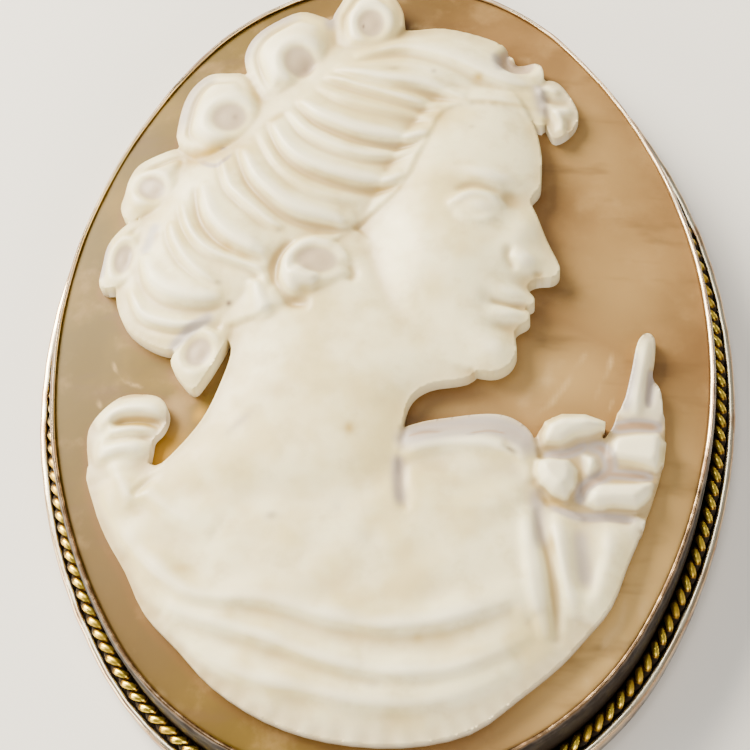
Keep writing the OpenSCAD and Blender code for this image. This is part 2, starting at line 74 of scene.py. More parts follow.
def egg_line(count):
    """Evenly spaced points on the egg and their outward directions, from its four tangent arcs."""
    arcs = [(-side_x, -EGG_DROP, SIDE_R, foot_turn, head_turn),
            (0, head_y, head_r, head_turn, np.pi - head_turn),
            (side_x, -EGG_DROP, SIDE_R, np.pi - head_turn, np.pi - foot_turn),
            (0, foot_y, foot_r, np.pi - foot_turn, 2 * np.pi + foot_turn)]
    x, y, r, start, end = np.array(arcs).T
    ends = np.cumsum(r * (end - start))
    way = np.arange(count) * ends[-1] / count
    k = np.searchsorted(ends, way, side="right")
    turn = end[k] - (ends[k] - way) / r[k]
    out = np.column_stack([np.cos(turn), np.sin(turn)])
    return np.column_stack([x[k], y[k]]) + r[k, None] * out, out


# Meshes from arrays
def grid_faces(rows, cols, close_rows=False, close_cols=False):
    """Four-sided faces of a grid of points numbered row by row. A closed one joins its last row or column
    to the first."""
    down, wide = rows - (not close_rows), cols - (not close_cols)
    i, j = np.divmod(np.arange(down * wide), wide)
    up, on = (i + 1) % rows, (j + 1) % cols
    return np.column_stack([i * cols + j, i * cols + on, up * cols + on, up * cols + j])


def fan(ring, hub, facing_down=False):
    """Triangles from the points of a ring to the point in its middle."""
    a, b = ring, np.roll(ring, -1)
    if facing_down:
        a, b = b, a
    return np.column_stack([a, b, np.full(len(ring), hub)])


def piece(name, points, quads, material, fields, triangles=np.zeros((0, 3), int)):
    """A smooth mesh of four- and three-sided faces from arrays, in millimetres about the opening's middle,
    with its named numbers per point. It rides on the brooch's one body."""
    places = (points - [0, MIDDLE_Y, 0]) * MM
    loops = np.concatenate([quads.ravel(), triangles.ravel()])
    sizes = np.repeat([4, 3], [len(quads), len(triangles)])
    mesh = bpy.data.meshes.new(name)
    mesh.vertices.add(len(points))
    mesh.vertices.foreach_set("co", places.astype(np.float32).ravel())
    mesh.loops.add(len(loops))
    mesh.loops.foreach_set("vertex_index", loops.astype(np.int32))
    mesh.polygons.add(len(sizes))
    mesh.polygons.foreach_set("loop_start", (np.cumsum(sizes) - sizes).astype(np.int32))
    mesh.polygons.foreach_set("use_smooth", np.full(len(sizes), True))
    for field_name, values in fields.items():
        numbers = mesh.attributes.new(field_name, "FLOAT", "POINT").data
        numbers.foreach_set("value", values.astype(np.float32).ravel())
    mesh.update(calc_edges=True)
    mesh.validate()
    mesh.materials.append(material)
    o = bpy.data.objects.new(name, mesh)
    bpy.context.scene.collection.objects.link(o)
    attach(o, "root")
    return o


def waves(x, y, size, seed):
    """Soft uneven values about 0 with hills of roughly that size: a sum of sines, whose directions, phases
    and lengths are drawn from a seed."""
    count = 7
    rng = np.random.default_rng(seed)
    turns = rng.uniform(0, np.pi, count)
    phases = rng.uniform(0, 2 * np.pi, count)
    shares = rng.uniform(0.7, 1.5, count)
    total = np.zeros(np.shape(x))
    for turn, phase, share in zip(turns, phases, shares):
        total += np.sin((np.cos(turn) * x + np.sin(turn) * y) * 2 * np.pi * share / size + phase)
    return total / (count / 2)


# Curves and the heights they raise
def curve(points, per=6, closed=False):
    """A smooth line through points, with that many steps between each two: the cubic that passes the middle
    two of four neighbours in the direction of the outer two."""
    p = np.asarray(points, float)
    q = np.vstack([p[-1], p, p[:2]]) if closed else np.vstack([2 * p[0] - p[1], p, 2 * p[-1] - p[-2]])
    a, b, c, d = (q[k:len(q) - 3 + k, None] for k in range(4))
    t = (np.arange(per) / per)[None, :, None]
    bend, twist = 2 * a - 5 * b + 4 * c - d, 3 * b - a - 3 * c + d
    line = (0.5 * (2 * b + (c - a) * t + bend * t ** 2 + twist * t ** 3)).reshape(-1, 2)
    return line if closed else np.vstack([line, p[-1]])


def ease(t):
    """From 0 to 1 with no corner at either end."""
    t = np.clip(t, 0, 1)
    return t * t * (3 - 2 * t)


def nearest(x, y, line, closed=False):
    """Distance from each point to a line, the side it lies on, with left positive, and the share of the line
    passed there."""
    a = line if closed else line[:-1]
    b = np.roll(line, -1, 0)[:len(a)]
    best, side, share = np.full(x.shape, 1e9), np.zeros(x.shape), np.zeros(x.shape)
    for k, ((ax, ay), (bx, by)) in enumerate(zip(a, b)):
        ex, ey = bx - ax, by - ay
        t = np.clip(((x - ax) * ex + (y - ay) * ey) / (ex * ex + ey * ey), 0, 1)
        rx, ry = x - ax - t * ex, y - ay - t * ey
        d = np.hypot(rx, ry)
        near = d < best
        best = np.where(near, d, best)
        side = np.where(near, np.sign(ex * ry - ey * rx), side)
        share = np.where(near, (k + t) / len(a), share)
    return best, side, share


def inside(x, y, line):
    """True where a point lies inside a closed line: going right, it crosses it an odd number of times."""
    odd = np.zeros(x.shape, bool)
    for (ax, ay), (bx, by) in zip(line, np.roll(line, -1, 0)):
        if ay != by:
            odd ^= ((ay > y) != (by > y)) & (x < ax + (bx - ax) * (y - ay) / (by - ay))
    return odd


def around(x, y, line, margin):
    """True near a line's box, to leave out what is far away."""
    (x0, y0), (x1, y1) = line.min(0) - margin, line.max(0) + margin
    return (x > x0) & (x < x1) & (y > y0) & (y < y1)


# The height that stands for no carving at all
OUT = -9.0


def pillow(x, y, mass):
    """Height of a rounded mass: its edge height plus a rise that levels off with the depth inside. Every bit
    of the outline pushes with the inverse fourth power of its distance, so the depth has no creases."""
    edge, rise, run, line = mass
    margin, blur = 0.2, 0.45
    high = np.full(x.shape, OUT)
    m = around(x, y, line, margin)
    m[m] = inside(x[m], y[m], line)
    px, py, push = x[m], y[m], np.zeros(int(m.sum()))
    ends = np.roll(line, -1, 0)
    for (cx, cy), length in zip((line + ends) / 2, np.linalg.norm(ends - line, axis=1)):
        push += length / ((px - cx) ** 2 + (py - cy) ** 2 + blur ** 2) ** 2
    high[m] = edge + rise * (1 - np.exp(-np.cbrt(np.pi / 2 / push) / run))
    return high


def stroke(x, y, points, wide, shape):
    """Height added along a line by a shape of the distance across, in half widths, and of the share of the
    line passed. Past 2.5 half widths it is nothing."""
    line = curve(points)
    high = np.zeros(x.shape)
    m = around(x, y, line, 2.5 * wide)
    d, side, t = nearest(x[m], y[m], line)
    high[m] = shape(d * side / wide, t)
    return high


def tips(t, steep):
    """1 along a line, falling to 0 at both tips."""
    return np.sqrt(np.clip(steep * t, 0, 1) * np.clip(steep * (1 - t), 0, 1))


def melt(a, b, soft=0.25):
    """The higher of two heights, with the crease between them filled."""
    t = np.clip(0.5 + 0.5 * (a - b) / soft, 0, 1)
    return np.where((a > 0) & (b > 0), a * t + b * (1 - t) + soft * t * (1 - t), np.maximum(a, b))


# The carving
# A lady in profile. Her face is drawn in the head's own directions, forward and up from the
# chin, by thirds: 6 from chin to nose, from nose to brow and from brow to hair.
CHIN, HEAD_TURN = (7.4, -3.0), np.radians(7.5)
HEAD = [(-2.4, 18.4), (-0.7, 16.4), (0.05, 14.4), (0.25, 12.9), (0.25, 11.9), (-0.15, 11), (0.4, 9.8),
    (1.1, 8.4), (1.75, 7.3), (1.95, 6.75), (1.65, 6.25), (0.8, 6), (0.35, 5.65), (0.4, 5.15), (0.75, 4.75),
    (0.72, 4.4), (0.3, 4.12), (0.6, 3.8), (0.58, 3.35), (-0.05, 2.75), (0.05, 2), (0.15, 1.3), (-0.2, 0.5),
    (-1.1, 0), (-2.8, 0.15), (-5, 0.75), (-7, 1.9), (-8.8, 3.8), (-9.8, 6.4), (-10.2, 10), (-8.8, 14.5),
    (-5.6, 17.8)]
BUST_OUTLINE = [(-15.9, -7.4), (-15.4, -9.6), (-14.6, -11.5), (-13.4, -13.5), (-12.3, -15.7),
    (-10.5, -17.6), (-8.5, -19.7), (-5.7, -21.5), (-2.4, -22.6), (1.5, -22.9), (5, -22.2), (7.6, -20.4),
    (9.7, -18.7), (11.1, -17.2), (12.5, -15.5), (13.4, -13.3), (14.1, -11.7), (14.35, -10.8), (13, -10.8),
    (11.2, -10.9), (10.2, -10.4), (8.8, -10), (8.4, -8), (3, -7), (-2, -7), (-8, -6.5), (-12, -7.6),
    (-14, -6.4)]


def head_point(p):
    """A point given forward and up from the chin, in the brooch's directions."""
    u, v = np.asarray(p, float).T
    c, s = np.cos(HEAD_TURN), np.sin(HEAD_TURN)
    return np.column_stack([CHIN[0] + c * u + s * v, CHIN[1] + c * v - s * u])


# Masses: height at the edge, rise to the middle, run of the rise, outline
BUST = (0.7, 0.7, 2.4, curve(BUST_OUTLINE, 3, True))
SLEEVE = (0.55, 0.5, 1.0, curve([(0.9, -6.8), (2.2, -5.7), (4.2, -5.3), (6.6, -5.15), (8, -5.7),
    (8.7, -6.8), (8.9, -8.6), (9, -10.6), (8.5, -12.6), (3.5, -13), (0.4, -10.8)], 5, True))
KNOT = (0.55, 0.6, 0.9, curve([(-16, -5.3), (-15.5, -4.5), (-14.6, -3.7), (-13.8, -3.3), (-12.7, -3.4),
    (-11.9, -3.7), (-11.5, -4.3), (-11.5, -5), (-11.8, -5.6), (-12.2, -6), (-12.3, -6.7), (-12.5, -7.7),
    (-13.2, -9.2), (-15.2, -9), (-15.9, -7)], 3, True))
BUD = (0.45, 0.4, 0.4, curve([(14.3, -1), (14.6, -0.3), (15, -0.05), (15.35, -0.4), (15.3, -1.6),
    (15.15, -2.6), (15.55, -3.6), (15.55, -5.2), (15, -5.4), (13.3, -5.1), (13.6, -4),
    (14, -2.4)], 3, True))
FLOWER_BED = (0.5, 0.15, 1, curve([(12.9, -5.6), (13.4, -4.6), (15.5, -4.6), (15.65, -6.2), (15.5, -7.6),
    (15.1, -9), (14.5, -10.6), (13.6, -12), (9, -12), (8.2, -9), (8.6, -6.6), (9.6, -5.4), (11, -5.3),
    (12.2, -5.7), (12.3, -6.4)], 3, True))
NECK = (0.85, 0.95, 2.4, curve([(-8, -1), (-8.5, -3), (-9.5, -5.2), (-11.2, -7.2), (-13, -8.7),
    (-13, -10.6), (-9.5, -12.8), (-4, -14), (0.8, -13), (1.7, -10.6), (1.3, -8.4), (1.5, -6.2), (1.9, -4.4),
    (3, -3.5), (5.4, -2.9), (5.6, -0.6), (2, 2.6), (-2, 6.5), (-7.4, 4), (-8.6, 0.6)], 5, True))
FACE = (0.95, 1.25, 2.2, head_point(curve(HEAD, 5, True)))
HAIR = (0.85, 1.3, 2.4, curve([(9.7, 14.4), (9.4, 15.8), (8.8, 16.6), (7.4, 18.6), (6.4, 19.4), (3.8, 20.2),
    (1.4, 20.1), (-2.5, 20.6), (-6.2, 18.2), (-9.4, 14.4), (-12.4, 10.6), (-14.2, 6.6), (-14.9, 3.4),
    (-14.3, 1), (-12.6, -0.5), (-10.8, -0.9), (-8.6, 0.2), (-6.4, 0.8), (-4.8, 2), (-3.4, 4.2), (-2, 5.6),
    (-0.4, 7), (1, 8.2), (1.8, 9.4), (2.4, 10.8), (3, 12.2), (3.5, 13.4), (4.3, 14.1), (5.5, 14.35),
    (7, 14.25), (8.4, 13.8), (9.4, 13.1)], 4, True))

# Ridges of the dress: lift, half width, line. The left side of each falls slowly and the right side fast.
FOLDS = [
    (0.22, 0.5, [(-13.2, -8.8), (-12, -9.6), (-10.4, -10.8), (-8.6, -11.9)]),
    (0.42, 0.5, [(-15, -8.4), (-14.2, -10.4), (-13, -12.2), (-11.4, -13.8), (-9.8, -14.9), (-8.2, -15.3),
        (-6.2, -15.4), (-4.2, -15.9), (-2, -16.6), (0.4, -17), (2.6, -16.9), (4.6, -16.5), (6.3, -15.9),
        (7.4, -15.6), (8.2, -16.6)]),
    (0.4, 0.45, [(-13.4, -12.8), (-12, -14.6), (-10.4, -15.8), (-9, -16.4), (-7.2, -17), (-5.6, -17.5),
        (-3.6, -18.3), (-1.4, -19), (1.2, -19.4), (4, -19.2), (6.4, -18.3), (8.4, -17.2)]),
    (0.36, 0.5, [(-11.4, -16), (-8.8, -18.2), (-7, -19.2), (-5, -19.8), (-2.8, -20.3), (-0.6, -20.8),
        (2, -20.9), (5, -20.3), (7.6, -18.8)]),
    (0.25, 0.45, [(8.1, -10.4), (8.2, -13), (8.5, -15.4), (9, -17.6)]),
    (0.34, 0.35, [(9.7, -10.6), (9.8, -12.6), (10.1, -14.4), (10.5, -16.4)]),
    (0.28, 0.55, [(12.5, -11), (12.4, -13), (11.8, -15), (11.2, -16.6)]),
    (0.32, 0.45, [(1.4, -7.8), (2.6, -7.1), (4.6, -6.9), (6.4, -7), (7.8, -7.6), (8.4, -9)]),
    (0.1, 0.6, [(1.8, -10.2), (5, -10.4), (8, -10.3)]),
    (0.4, 0.35, [(-15.5, -5.2), (-14.2, -4.4), (-12.6, -4.4), (-11.7, -4.9)]),
    (0.34, 0.2, [(-14.9, -5.6), (-13.4, -5.45), (-12.1, -5.6)]),
    (0.34, 0.4, [(-15.6, -7), (-14, -6.6), (-12.4, -6.7)]),
    (0.16, 0.35, [(-14.6, -7.4), (-13.8, -8.6), (-13.2, -10)]),
    (0.35, 0.3, [(14.1, -5.2), (14.3, -3.6), (14.7, -1.8), (14.95, -0.4)])]

# Cuts of the graver in the dress: depth, half width, line
CUTS = [
    (0.42, 0.36, [(-14.6, -5.05), (-13.2, -4.95), (-11.8, -5.2)]),
    (0.3, 0.24, [(-15, -6.1), (-13.5, -5.95), (-12.3, -5.95)]),
    (0.25, 0.25, [(-11.9, -8), (-12.6, -8.8), (-13.2, -9.3)]),
    (0.3, 0.28, [(8.7, -10.4), (8.9, -12), (9.2, -13.2), (9.5, -15.6), (9.6, -17.8)]),
    (0.14, 0.8, [(10.9, -11), (10.9, -13.2), (11, -15.2)]),
    (0.12, 0.22, [(6.9, -6.9), (7.3, -7.1), (7.8, -7.7)]),
    (0.12, 0.6, [(2, -6), (5, -5.8), (8, -6.6)]),
    (0.16, 0.35, [(1.6, -7.6), (1.5, -9.2), (1.8, -10.8)]),
    (0.35, 0.3, [(11, -10.9), (12.4, -10.75), (13.8, -10.95)]),
    (0.3, 0.22, [(15.3, -2.2), (15.05, -3), (14.8, -4.6)])]

# Petals of the flower at the shoulder: height in the middle, slope to the right and up, outline
PETALS = [
    (1.45, 0.02, 0.22, [(8.9, -7.1), (8.85, -6.3), (9.2, -5.6), (10.1, -5.2), (11.4, -5.2), (12.45, -5.55),
        (12.4, -5.95), (11.6, -6.35), (10.9, -6.6), (10.1, -7.15)]),
    (1.35, 0.12, -0.1, [(12.3, -7.6), (12.5, -6.5), (13, -6.05), (14.2, -5.9), (15.4, -5.95), (15.7, -6.6),
        (15.55, -7.6), (15.2, -8.35), (14.4, -8.2), (12.9, -7.95)]),
    (1.7, -0.15, -0.22, [(8.7, -7.8), (9.4, -7.55), (10.5, -7.65), (10.95, -8.3), (10.8, -9.3), (10.2, -10),
        (9.5, -9.8), (8.9, -9.2), (8.6, -8.5)]),
    (1.5, 0.05, -0.2, [(11.2, -9.4), (11.9, -8.85), (13, -8.85), (14.5, -8.8), (15.05, -8.7), (14.75, -9.8),
        (14, -10.4), (12.8, -10.4), (11.8, -10.5), (11.2, -10.2)]),
    (1.1, -0.1, 0.05, [(11, -7.1), (12.1, -7.3), (12.3, -8.1), (11.8, -8.7), (11.1, -9)])]

# Steps between the bands of hair, combed back from the brow: lift, half width, line
LOCKS = [
    (0.28, 1.0, [(-1.4, 17.4), (0.2, 17.8), (1.4, 17.95), (2.8, 17.6), (4.2, 17), (5.4, 16.35),
        (6.4, 15.85), (7.8, 15.5), (9.2, 15.6)]),
    (0.12, 0.6, [(-1.8, 16.9), (-0.2, 16.7), (1.2, 16.6), (2.6, 16.4), (4, 15.9), (5.4, 15.35)]),
    (0.34, 0.85, [(-2.8, 16.6), (-1.2, 16), (0.4, 15.5), (1.6, 15.3), (2.7, 15.1), (3.8, 14.75),
        (5, 14.35)]),
    (0.3, 0.7, [(-3.3, 16.1), (-2.2, 15.6), (-1, 15.05), (0.2, 14.6), (1.4, 14.2), (2.4, 13.95),
        (3.5, 13.8)]),
    (0.14, 0.6, [(-3.8, 15.5), (-2.4, 14.4), (-1, 13.8), (0.6, 13.4), (2.2, 13.15), (3.2, 13)]),
    (0.46, 0.85, [(-4.9, 14.5), (-3.8, 13.2), (-2.6, 12.4), (-1.2, 11.75), (0.4, 11.45), (1.8, 11.45),
        (3, 11.9)]),
    (0.24, 0.65, [(-5.5, 13.9), (-4.5, 12.3), (-3.3, 11.3), (-2, 10.65), (-0.6, 10.3), (0.8, 10.35),
        (2, 10.7)]),
    (0.42, 0.85, [(-6.5, 13.2), (-5.7, 11.3), (-4.7, 10.1), (-3.4, 9.3), (-2, 8.8), (-0.6, 8.55),
        (0.8, 8.6), (1.7, 9.2)]),
    (0.14, 0.55, [(-7.2, 12.6), (-6.3, 10.6), (-5.3, 9.2), (-4, 8.2), (-2.6, 7.7), (-1, 7.5)]),
    (0.46, 0.9, [(-8.2, 11.5), (-7.5, 9.5), (-6.7, 8.3), (-5.6, 7.2), (-4.6, 6.6), (-3.4, 6.25), (-2, 6.05),
        (-1, 6.4)]),
    (0.24, 0.5, [(-9.3, 11), (-8.8, 9), (-8, 7.9), (-7, 6.9), (-6.2, 6.2), (-5.3, 5.8)]),
    (0.42, 1.05, [(-10.5, 9.4), (-10.1, 7.2), (-9.4, 5.9), (-8.5, 5), (-7.4, 4.4), (-6.2, 4)]),
    (0.28, 0.5, [(-11.5, 8.2), (-11, 6.4), (-10.2, 5.1), (-9.2, 4.3), (-8, 3.8), (-6.8, 3.3), (-6.1, 2.4)]),
    (0.24, 0.5, [(-12.1, 7), (-11.9, 5.8), (-11.2, 4.4), (-10.2, 3.3), (-9, 2.5)]),
    (0.34, 1.1, [(-13.7, 5), (-13.2, 3.1), (-12.2, 2), (-11, 1.5), (-9.6, 1.35), (-8.4, 1.6)]),
    (0.34, 0.45, [(-14.3, 3), (-13.4, 1.1), (-12, 0.3), (-10.6, 0.1), (-9.2, 0.5)])]

# Curls: rise, outline, and the bowl: middle, half length, half width, turn, depth
CURLS = [
    (1.45, [(-2.5, 22), (-2, 23), (-1.3, 23.2), (-0.1, 23.2), (0.5, 22.8), (1.1, 21.9), (1.4, 20.6),
        (0.9, 19.2), (-0.1, 18.4), (-1.6, 18.2), (-2.5, 18.4), (-2.8, 19.6),
        (-2.9, 21)], (-0.55, 20.2, 0.9, 1.1, 0, 0.2)),
    (1.6, [(-8, 17.6), (-8.05, 18.8), (-7.5, 20), (-6.4, 20.9), (-4.9, 21.6), (-3.7, 21.2), (-2.9, 20.6),
        (-2.8, 19.1), (-3.1, 17.9), (-4.1, 16.5), (-5.4, 15.2), (-6.4, 14.7),
        (-7.3, 15.7)], (-4.75, 17.5, 1.0, 1.15, 20, 0.2)),
    (1.5, [(-11.8, 12.6), (-11.85, 13.9), (-11.6, 15.4), (-11.1, 16.5), (-10.2, 17.3), (-9.1, 17.3),
        (-8, 17.1), (-7.2, 16), (-6.7, 14.3), (-7.4, 12.6), (-8.7, 11.6), (-9.6, 11),
        (-10.6, 11.4)], (-8.75, 13.75, 1.15, 1.05, 15, 0.2)),
    (0.9, [(-14.1, 11.4), (-12.9, 12), (-11.7, 12.3), (-10.8, 11.8), (-10.8, 10.8), (-11.4, 9.5),
        (-12.5, 8.4), (-13.5, 8), (-14.5, 7.6), (-15, 8.5), (-14.8, 9.5),
        (-14.6, 10.5)], (-13.2, 9.6, 0.95, 0.8, -30, 0.16)),
    (0.8, [(-15, 7), (-14.2, 7.6), (-12.9, 7.7), (-13.4, 6.6), (-13.8, 5.6), (-13.9, 4.2), (-14.8, 3.4),
        (-15.9, 3.5), (-15.8, 4.9), (-15.6, 6.1)], (-14.6, 5.1, 0.6, 1.05, -8, 0.16)),
    (0.75, [(-11.4, -1.6), (-10.8, -0.6), (-10, 0.4), (-9.2, 1.1), (-8.4, 1.1), (-8, 0.6), (-8.3, -0.6),
        (-8.9, -1.8), (-9.5, -2.8), (-10.1, -3.4), (-10.9, -2.6)], (-9.85, -1.2, 0.8, 1.0, -25, 0.18)),
    (0.3, [(7, 19), (7.5, 18.7), (7.7, 18), (8.2, 17.8), (9, 17.85), (9.5, 17.4), (9.6, 16.5), (9.2, 15.9),
        (7.9, 15.7), (6.9, 16), (6.4, 17), (6.5, 18.2)], (8.0, 17.8, 1.2, 1.05, -12, 0.45)),
    (1.35, [(-5.4, 4.9), (-4.2, 5.6), (-3, 5.5), (-1.9, 4.9), (-1.4, 3.8), (-1.7, 2.6), (-2.8, 1.8),
        (-4.1, 1.2), (-5.4, 0.6), (-6.5, 0.9), (-6.8, 2.4), (-6.2, 3.8)], (-3.3, 3.9, 1.35, 0.95, -8, 0.2))]

# The curl over the brow: height at the edge, rise, run, outline
BROW_CURL = (0.6, 0.4, 0.6, curve([(9, 16), (9.7, 16.5), (10.4, 16.4), (11, 15.6), (11.5, 14.5),
    (11.5, 13.7), (11, 12.9), (10.2, 12.4), (9.8, 12.9), (9.5, 13.9), (9.2, 14.9)], 3, True))

# Ridges (positive) and cuts (negative) at the ear and over the brow: lift, half width, line
TENDRILS = [
    (0.22, 0.4, [(-2.4, 5), (-3.6, 5.2), (-4.7, 4.5), (-5, 3.4), (-4.7, 2.4), (-4.2, 1.9)]),
    (0.24, 0.5, [(-4.5, 3.4), (-3.9, 2.8), (-3.2, 2.5)]),
    (-0.34, 0.34, [(-4.7, 5.3), (-5.5, 4.2), (-5.6, 3.1), (-5.2, 2.1), (-4.5, 1.4), (-3.6, 1.3)]),
    (0.3, 0.45, [(-6.7, 3), (-6.5, 1.9), (-5.9, 0.6)]),
    (-0.2, 0.28, [(-1.9, 3.9), (-1.2, 3.2), (-1.5, 2.6)]),
    (0.26, 0.3, [(9.3, 15.3), (9.8, 15.75), (10.5, 15.5)]),
    (0.26, 0.28, [(9.6, 14.7), (10.3, 14.2), (11.2, 14.2)]),
    (0.24, 0.26, [(10.2, 14.2), (10.6, 13.3), (10.4, 12.7)]),
    (-0.14, 0.26, [(9.5, 15.1), (10.4, 14.9), (11.1, 15)]),
    (-0.14, 0.26, [(10.9, 13.9), (11, 13.3), (10.8, 12.9)])]

# Soft forms of the face, in head directions: middle, half width, half height, turn, lift
FEATURES = [
    (-2.9, 9.75, 1.3, 0.75, -5, 0.34),      # eye
    (-2.7, 11.9, 2.1, 0.6, -6, 0.3),        # brow
    (-0.3, 8.8, 0.8, 1.9, -20, 0.2),        # side of the nose
    (-4.4, 6.4, 2.9, 2.9, 0, 0.32),         # cheek
    (0, 6.8, 0.75, 0.65, 0, 0.32),          # wing of the nose
    (-0.3, 4.75, 1.15, 0.42, -12, 0.24),    # upper lip
    (-0.35, 3.5, 1, 0.42, 8, 0.24),         # lower lip
    (-0.9, 1.25, 1.2, 0.95, 0, 0.2),        # chin
    (-1.75, 4.1, 0.5, 0.6, 0, -0.14),       # corner of the mouth
    (-0.85, 2.65, 0.9, 0.35, 0, -0.14),     # under the lip
    (-1.3, 10.7, 0.7, 0.8, 20, -0.28)]      # inner corner of the eye

# Fine lines of the face, in head directions: lift, half width, line
LINES = [
    (0.2, 0.28, [(-4.6, 9.5), (-3.6, 10.4), (-2.5, 10.55), (-1.5, 10)]),
    (0.12, 0.22, [(-4.2, 9.1), (-3.1, 8.75), (-1.8, 9.2)]),
    (-0.16, 0.24, [(-4.4, 10.6), (-3.2, 11.15), (-1.9, 10.95)]),
    (-0.26, 0.2, [(0.5, 4.12), (-0.5, 4.05), (-1.6, 4.1)]),
    (-0.22, 0.24, [(-0.85, 7.6), (-0.95, 6.9), (-0.45, 6.2)]),
    (-0.14, 0.16, [(1.1, 6.3), (0.55, 6.25)])]

MASSES = [BUST, SLEEVE, KNOT, BUD, FLOWER_BED, NECK, FACE, HAIR, BROW_CURL]


def turned(dx, dy, degrees):
    """An offset seen in directions turned by that angle."""
    c, s = np.cos(np.radians(degrees)), np.sin(np.radians(degrees))
    return c * dx + s * dy, c * dy - s * dx


def curl_outline(c):
    """The smooth closed outline of a curl."""
    return curve(c[1], 3, True)


def curl(x, y, c):
    """Height of a curl, and how deep in its bowl each point is: a rounded mass with a broad rim round a
    shallow bowl, and a groove that follows the outline on its upper left."""
    rise, _, (cx, cy, long, wide, turn, deep) = c
    outline = curl_outline(c)
    high = pillow(x, y, (0.8, rise, 0.8, outline))
    u, v = turned(x - cx, y - cy, turn)
    k = np.hypot(u / long, v / wide)
    bowl_edge, rim_top_highlight = 1.3, 1.35
    form = 0.12 * np.exp(-((k - rim_top_highlight) / 0.35) ** 2) - deep * ease((bowl_edge - k) / 0.9)
    m = high > 0
    d = nearest(x[m], y[m], outline, True)[0]
    groove = 0.3 * np.exp(-((d - 0.8) / 0.22) ** 2)
    form[m] -= groove * ease(0.2 + 0.6 * ((v - u) / k)[m]) * ease((k[m] - bowl_edge) / 0.4)
    return np.where(m, high + form, high), ease((1.2 - k) / 0.6)


def petal(x, y, p):
    """Height of a petal: a plane sloped to one side, cut off at the outline with a short bevel."""
    high, right, up, line = p
    bevel = 0.6
    line = np.array(line)
    form = np.full(x.shape, OUT)
    m = around(x, y, line, 0)
    px, py = x[m], y[m]
    (mx, my), d = line.mean(0), nearest(px, py, line, True)[0]
    plane = high + right * (px - mx) + up * (py - my) - bevel * (1 - ease(d / bevel))
    form[m] = np.where(inside(px, py, line), plane, OUT)
    return form


def fold(s, t):
    """A ridge that falls slowly on its left side and fast on its right."""
    return np.exp(-np.where(s > 0, s / 2.2, s / 0.8) ** 2) * tips(t, 4)


def cut(s, t):
    """A groove as a graver leaves it."""
    return np.exp(-s * s) * tips(t, 5)


def step_up(s, t):
    """A band of hair over the next: a groove on the line, a crest close over it and a slow fall behind."""
    s = s / (0.55 + 0.45 * np.sin(np.pi * t))
    crest_at, rise, fall = 0.55, 0.34, 1.05
    crest = 1.1 * np.exp(-((s - crest_at) / np.where(s < crest_at, rise, fall)) ** 2)
    groove = 0.6 * np.exp(-((s + 0.08) / 0.42) ** 2)
    return (crest - groove) * tips(t, 6)


def strokes(x, y, rows, shape):
    """Sum of the heights along all lines of a table."""
    return sum(stroke(x, y, line, wide, lambda s, t: lift * shape(s, t)) for lift, wide, line in rows)


def dress(x, y):
    """Bust, sleeve, knot and bud with folds and cuts, and the flower's petals over its low bed."""
    thinnest, unevenness = 0.25, 0.035
    high = np.maximum.reduce([pillow(x, y, m) for m in (BUST, SLEEVE, KNOT, BUD)])
    form = high + strokes(x, y, FOLDS, fold) - strokes(x, y, CUTS, cut) + unevenness * waves(x, y, 3.2, 21)
    high = np.where(high > 0, np.maximum(form, thinnest), high)
    return np.maximum.reduce([high, pillow(x, y, FLOWER_BED)] + [petal(x, y, p) for p in PETALS])


def face(x, y):
    """The head with its soft features and fine lines, dying away towards the ear."""
    high = pillow(x, y, FACE)
    u, v = turned(x - CHIN[0], y - CHIN[1], -np.degrees(HEAD_TURN))
    soft = np.zeros(x.shape)
    for mu, mv, wide, tall, turn, lift in FEATURES:
        a, b = turned(u - mu, v - mv, turn)
        soft += lift * np.exp(-1.2 * ((a / wide) ** 2 + (b / tall) ** 2))
    for lift, wide, line in LINES:
        soft += stroke(u, v, line, wide, lambda s, t: lift * np.exp(-s * s) * tips(t, 5))
    return np.where(high > 0, high + soft - 0.5 * ease((-5.5 - u) / 4), high)


def hair(x, y, under):
    """The cap of hair, which lies on the head, with the steps between its bands."""
    cap = pillow(x, y, HAIR)
    depth = np.clip(pillow(x, y, (0, 1, 0.5, HAIR[3])), 0, 1)
    high = np.maximum(cap, under + 0.3 * depth)
    return np.where(cap > 0, high + strokes(x, y, LOCKS, step_up) * (0.35 + 0.5 * depth), OUT)


def carved(x, y):
    """Height of the carving over the ground, or OUT beyond it, and how deep in a bowl each point is. The
    neck fades into the dress, and a curl's bowl cuts into what lies under it."""
    neck = pillow(x, y, NECK)
    neck = np.where(neck > 0, neck * (1 - 0.6 * ease((-7 - y) / 5.5)), neck)
    under = melt(melt(dress(x, y), neck), face(x, y))
    high = np.maximum(under, hair(x, y, under))
    high = np.maximum(high, pillow(x, y, BROW_CURL))
    bowls = np.zeros(x.shape)
    for c in CURLS:
        top, bowl = curl(x, y, c)
        higher = np.maximum(high, top)
        high = np.where((bowl > 0) & (top > 0), top * bowl + higher * (1 - bowl), higher)
        bowls = np.maximum(bowls, bowl * (top > 0))
    return np.where(high > 0, high + strokes(x, y, TENDRILS, cut), high), bowls


def inset(x, y):
    """Distance inside the outline of the whole carving, negative outside."""
    far = np.full(x.shape, OUT)
    for line in [m[3] for m in MASSES] + [np.array(p[3]) for p in PETALS] + [curl_outline(c) for c in CURLS]:
        m = around(x, y, line, 0.6)
        d = nearest(x[m], y[m], line, True)[0]
        far[m] = np.maximum(far[m], np.where(inside(x[m], y[m], line), d, -d))
    return far


# Spacing of the carving's grid, and where its walls end inside the shell
CELL = 0.102
FLOOR_Z = 5.0


def with_neighbours(values, axis):
    """Each value and its two neighbours along an axis, with weights 1, 2, 1."""
    return np.roll(values, 1, axis) + 2 * values + np.roll(values, -1, axis)


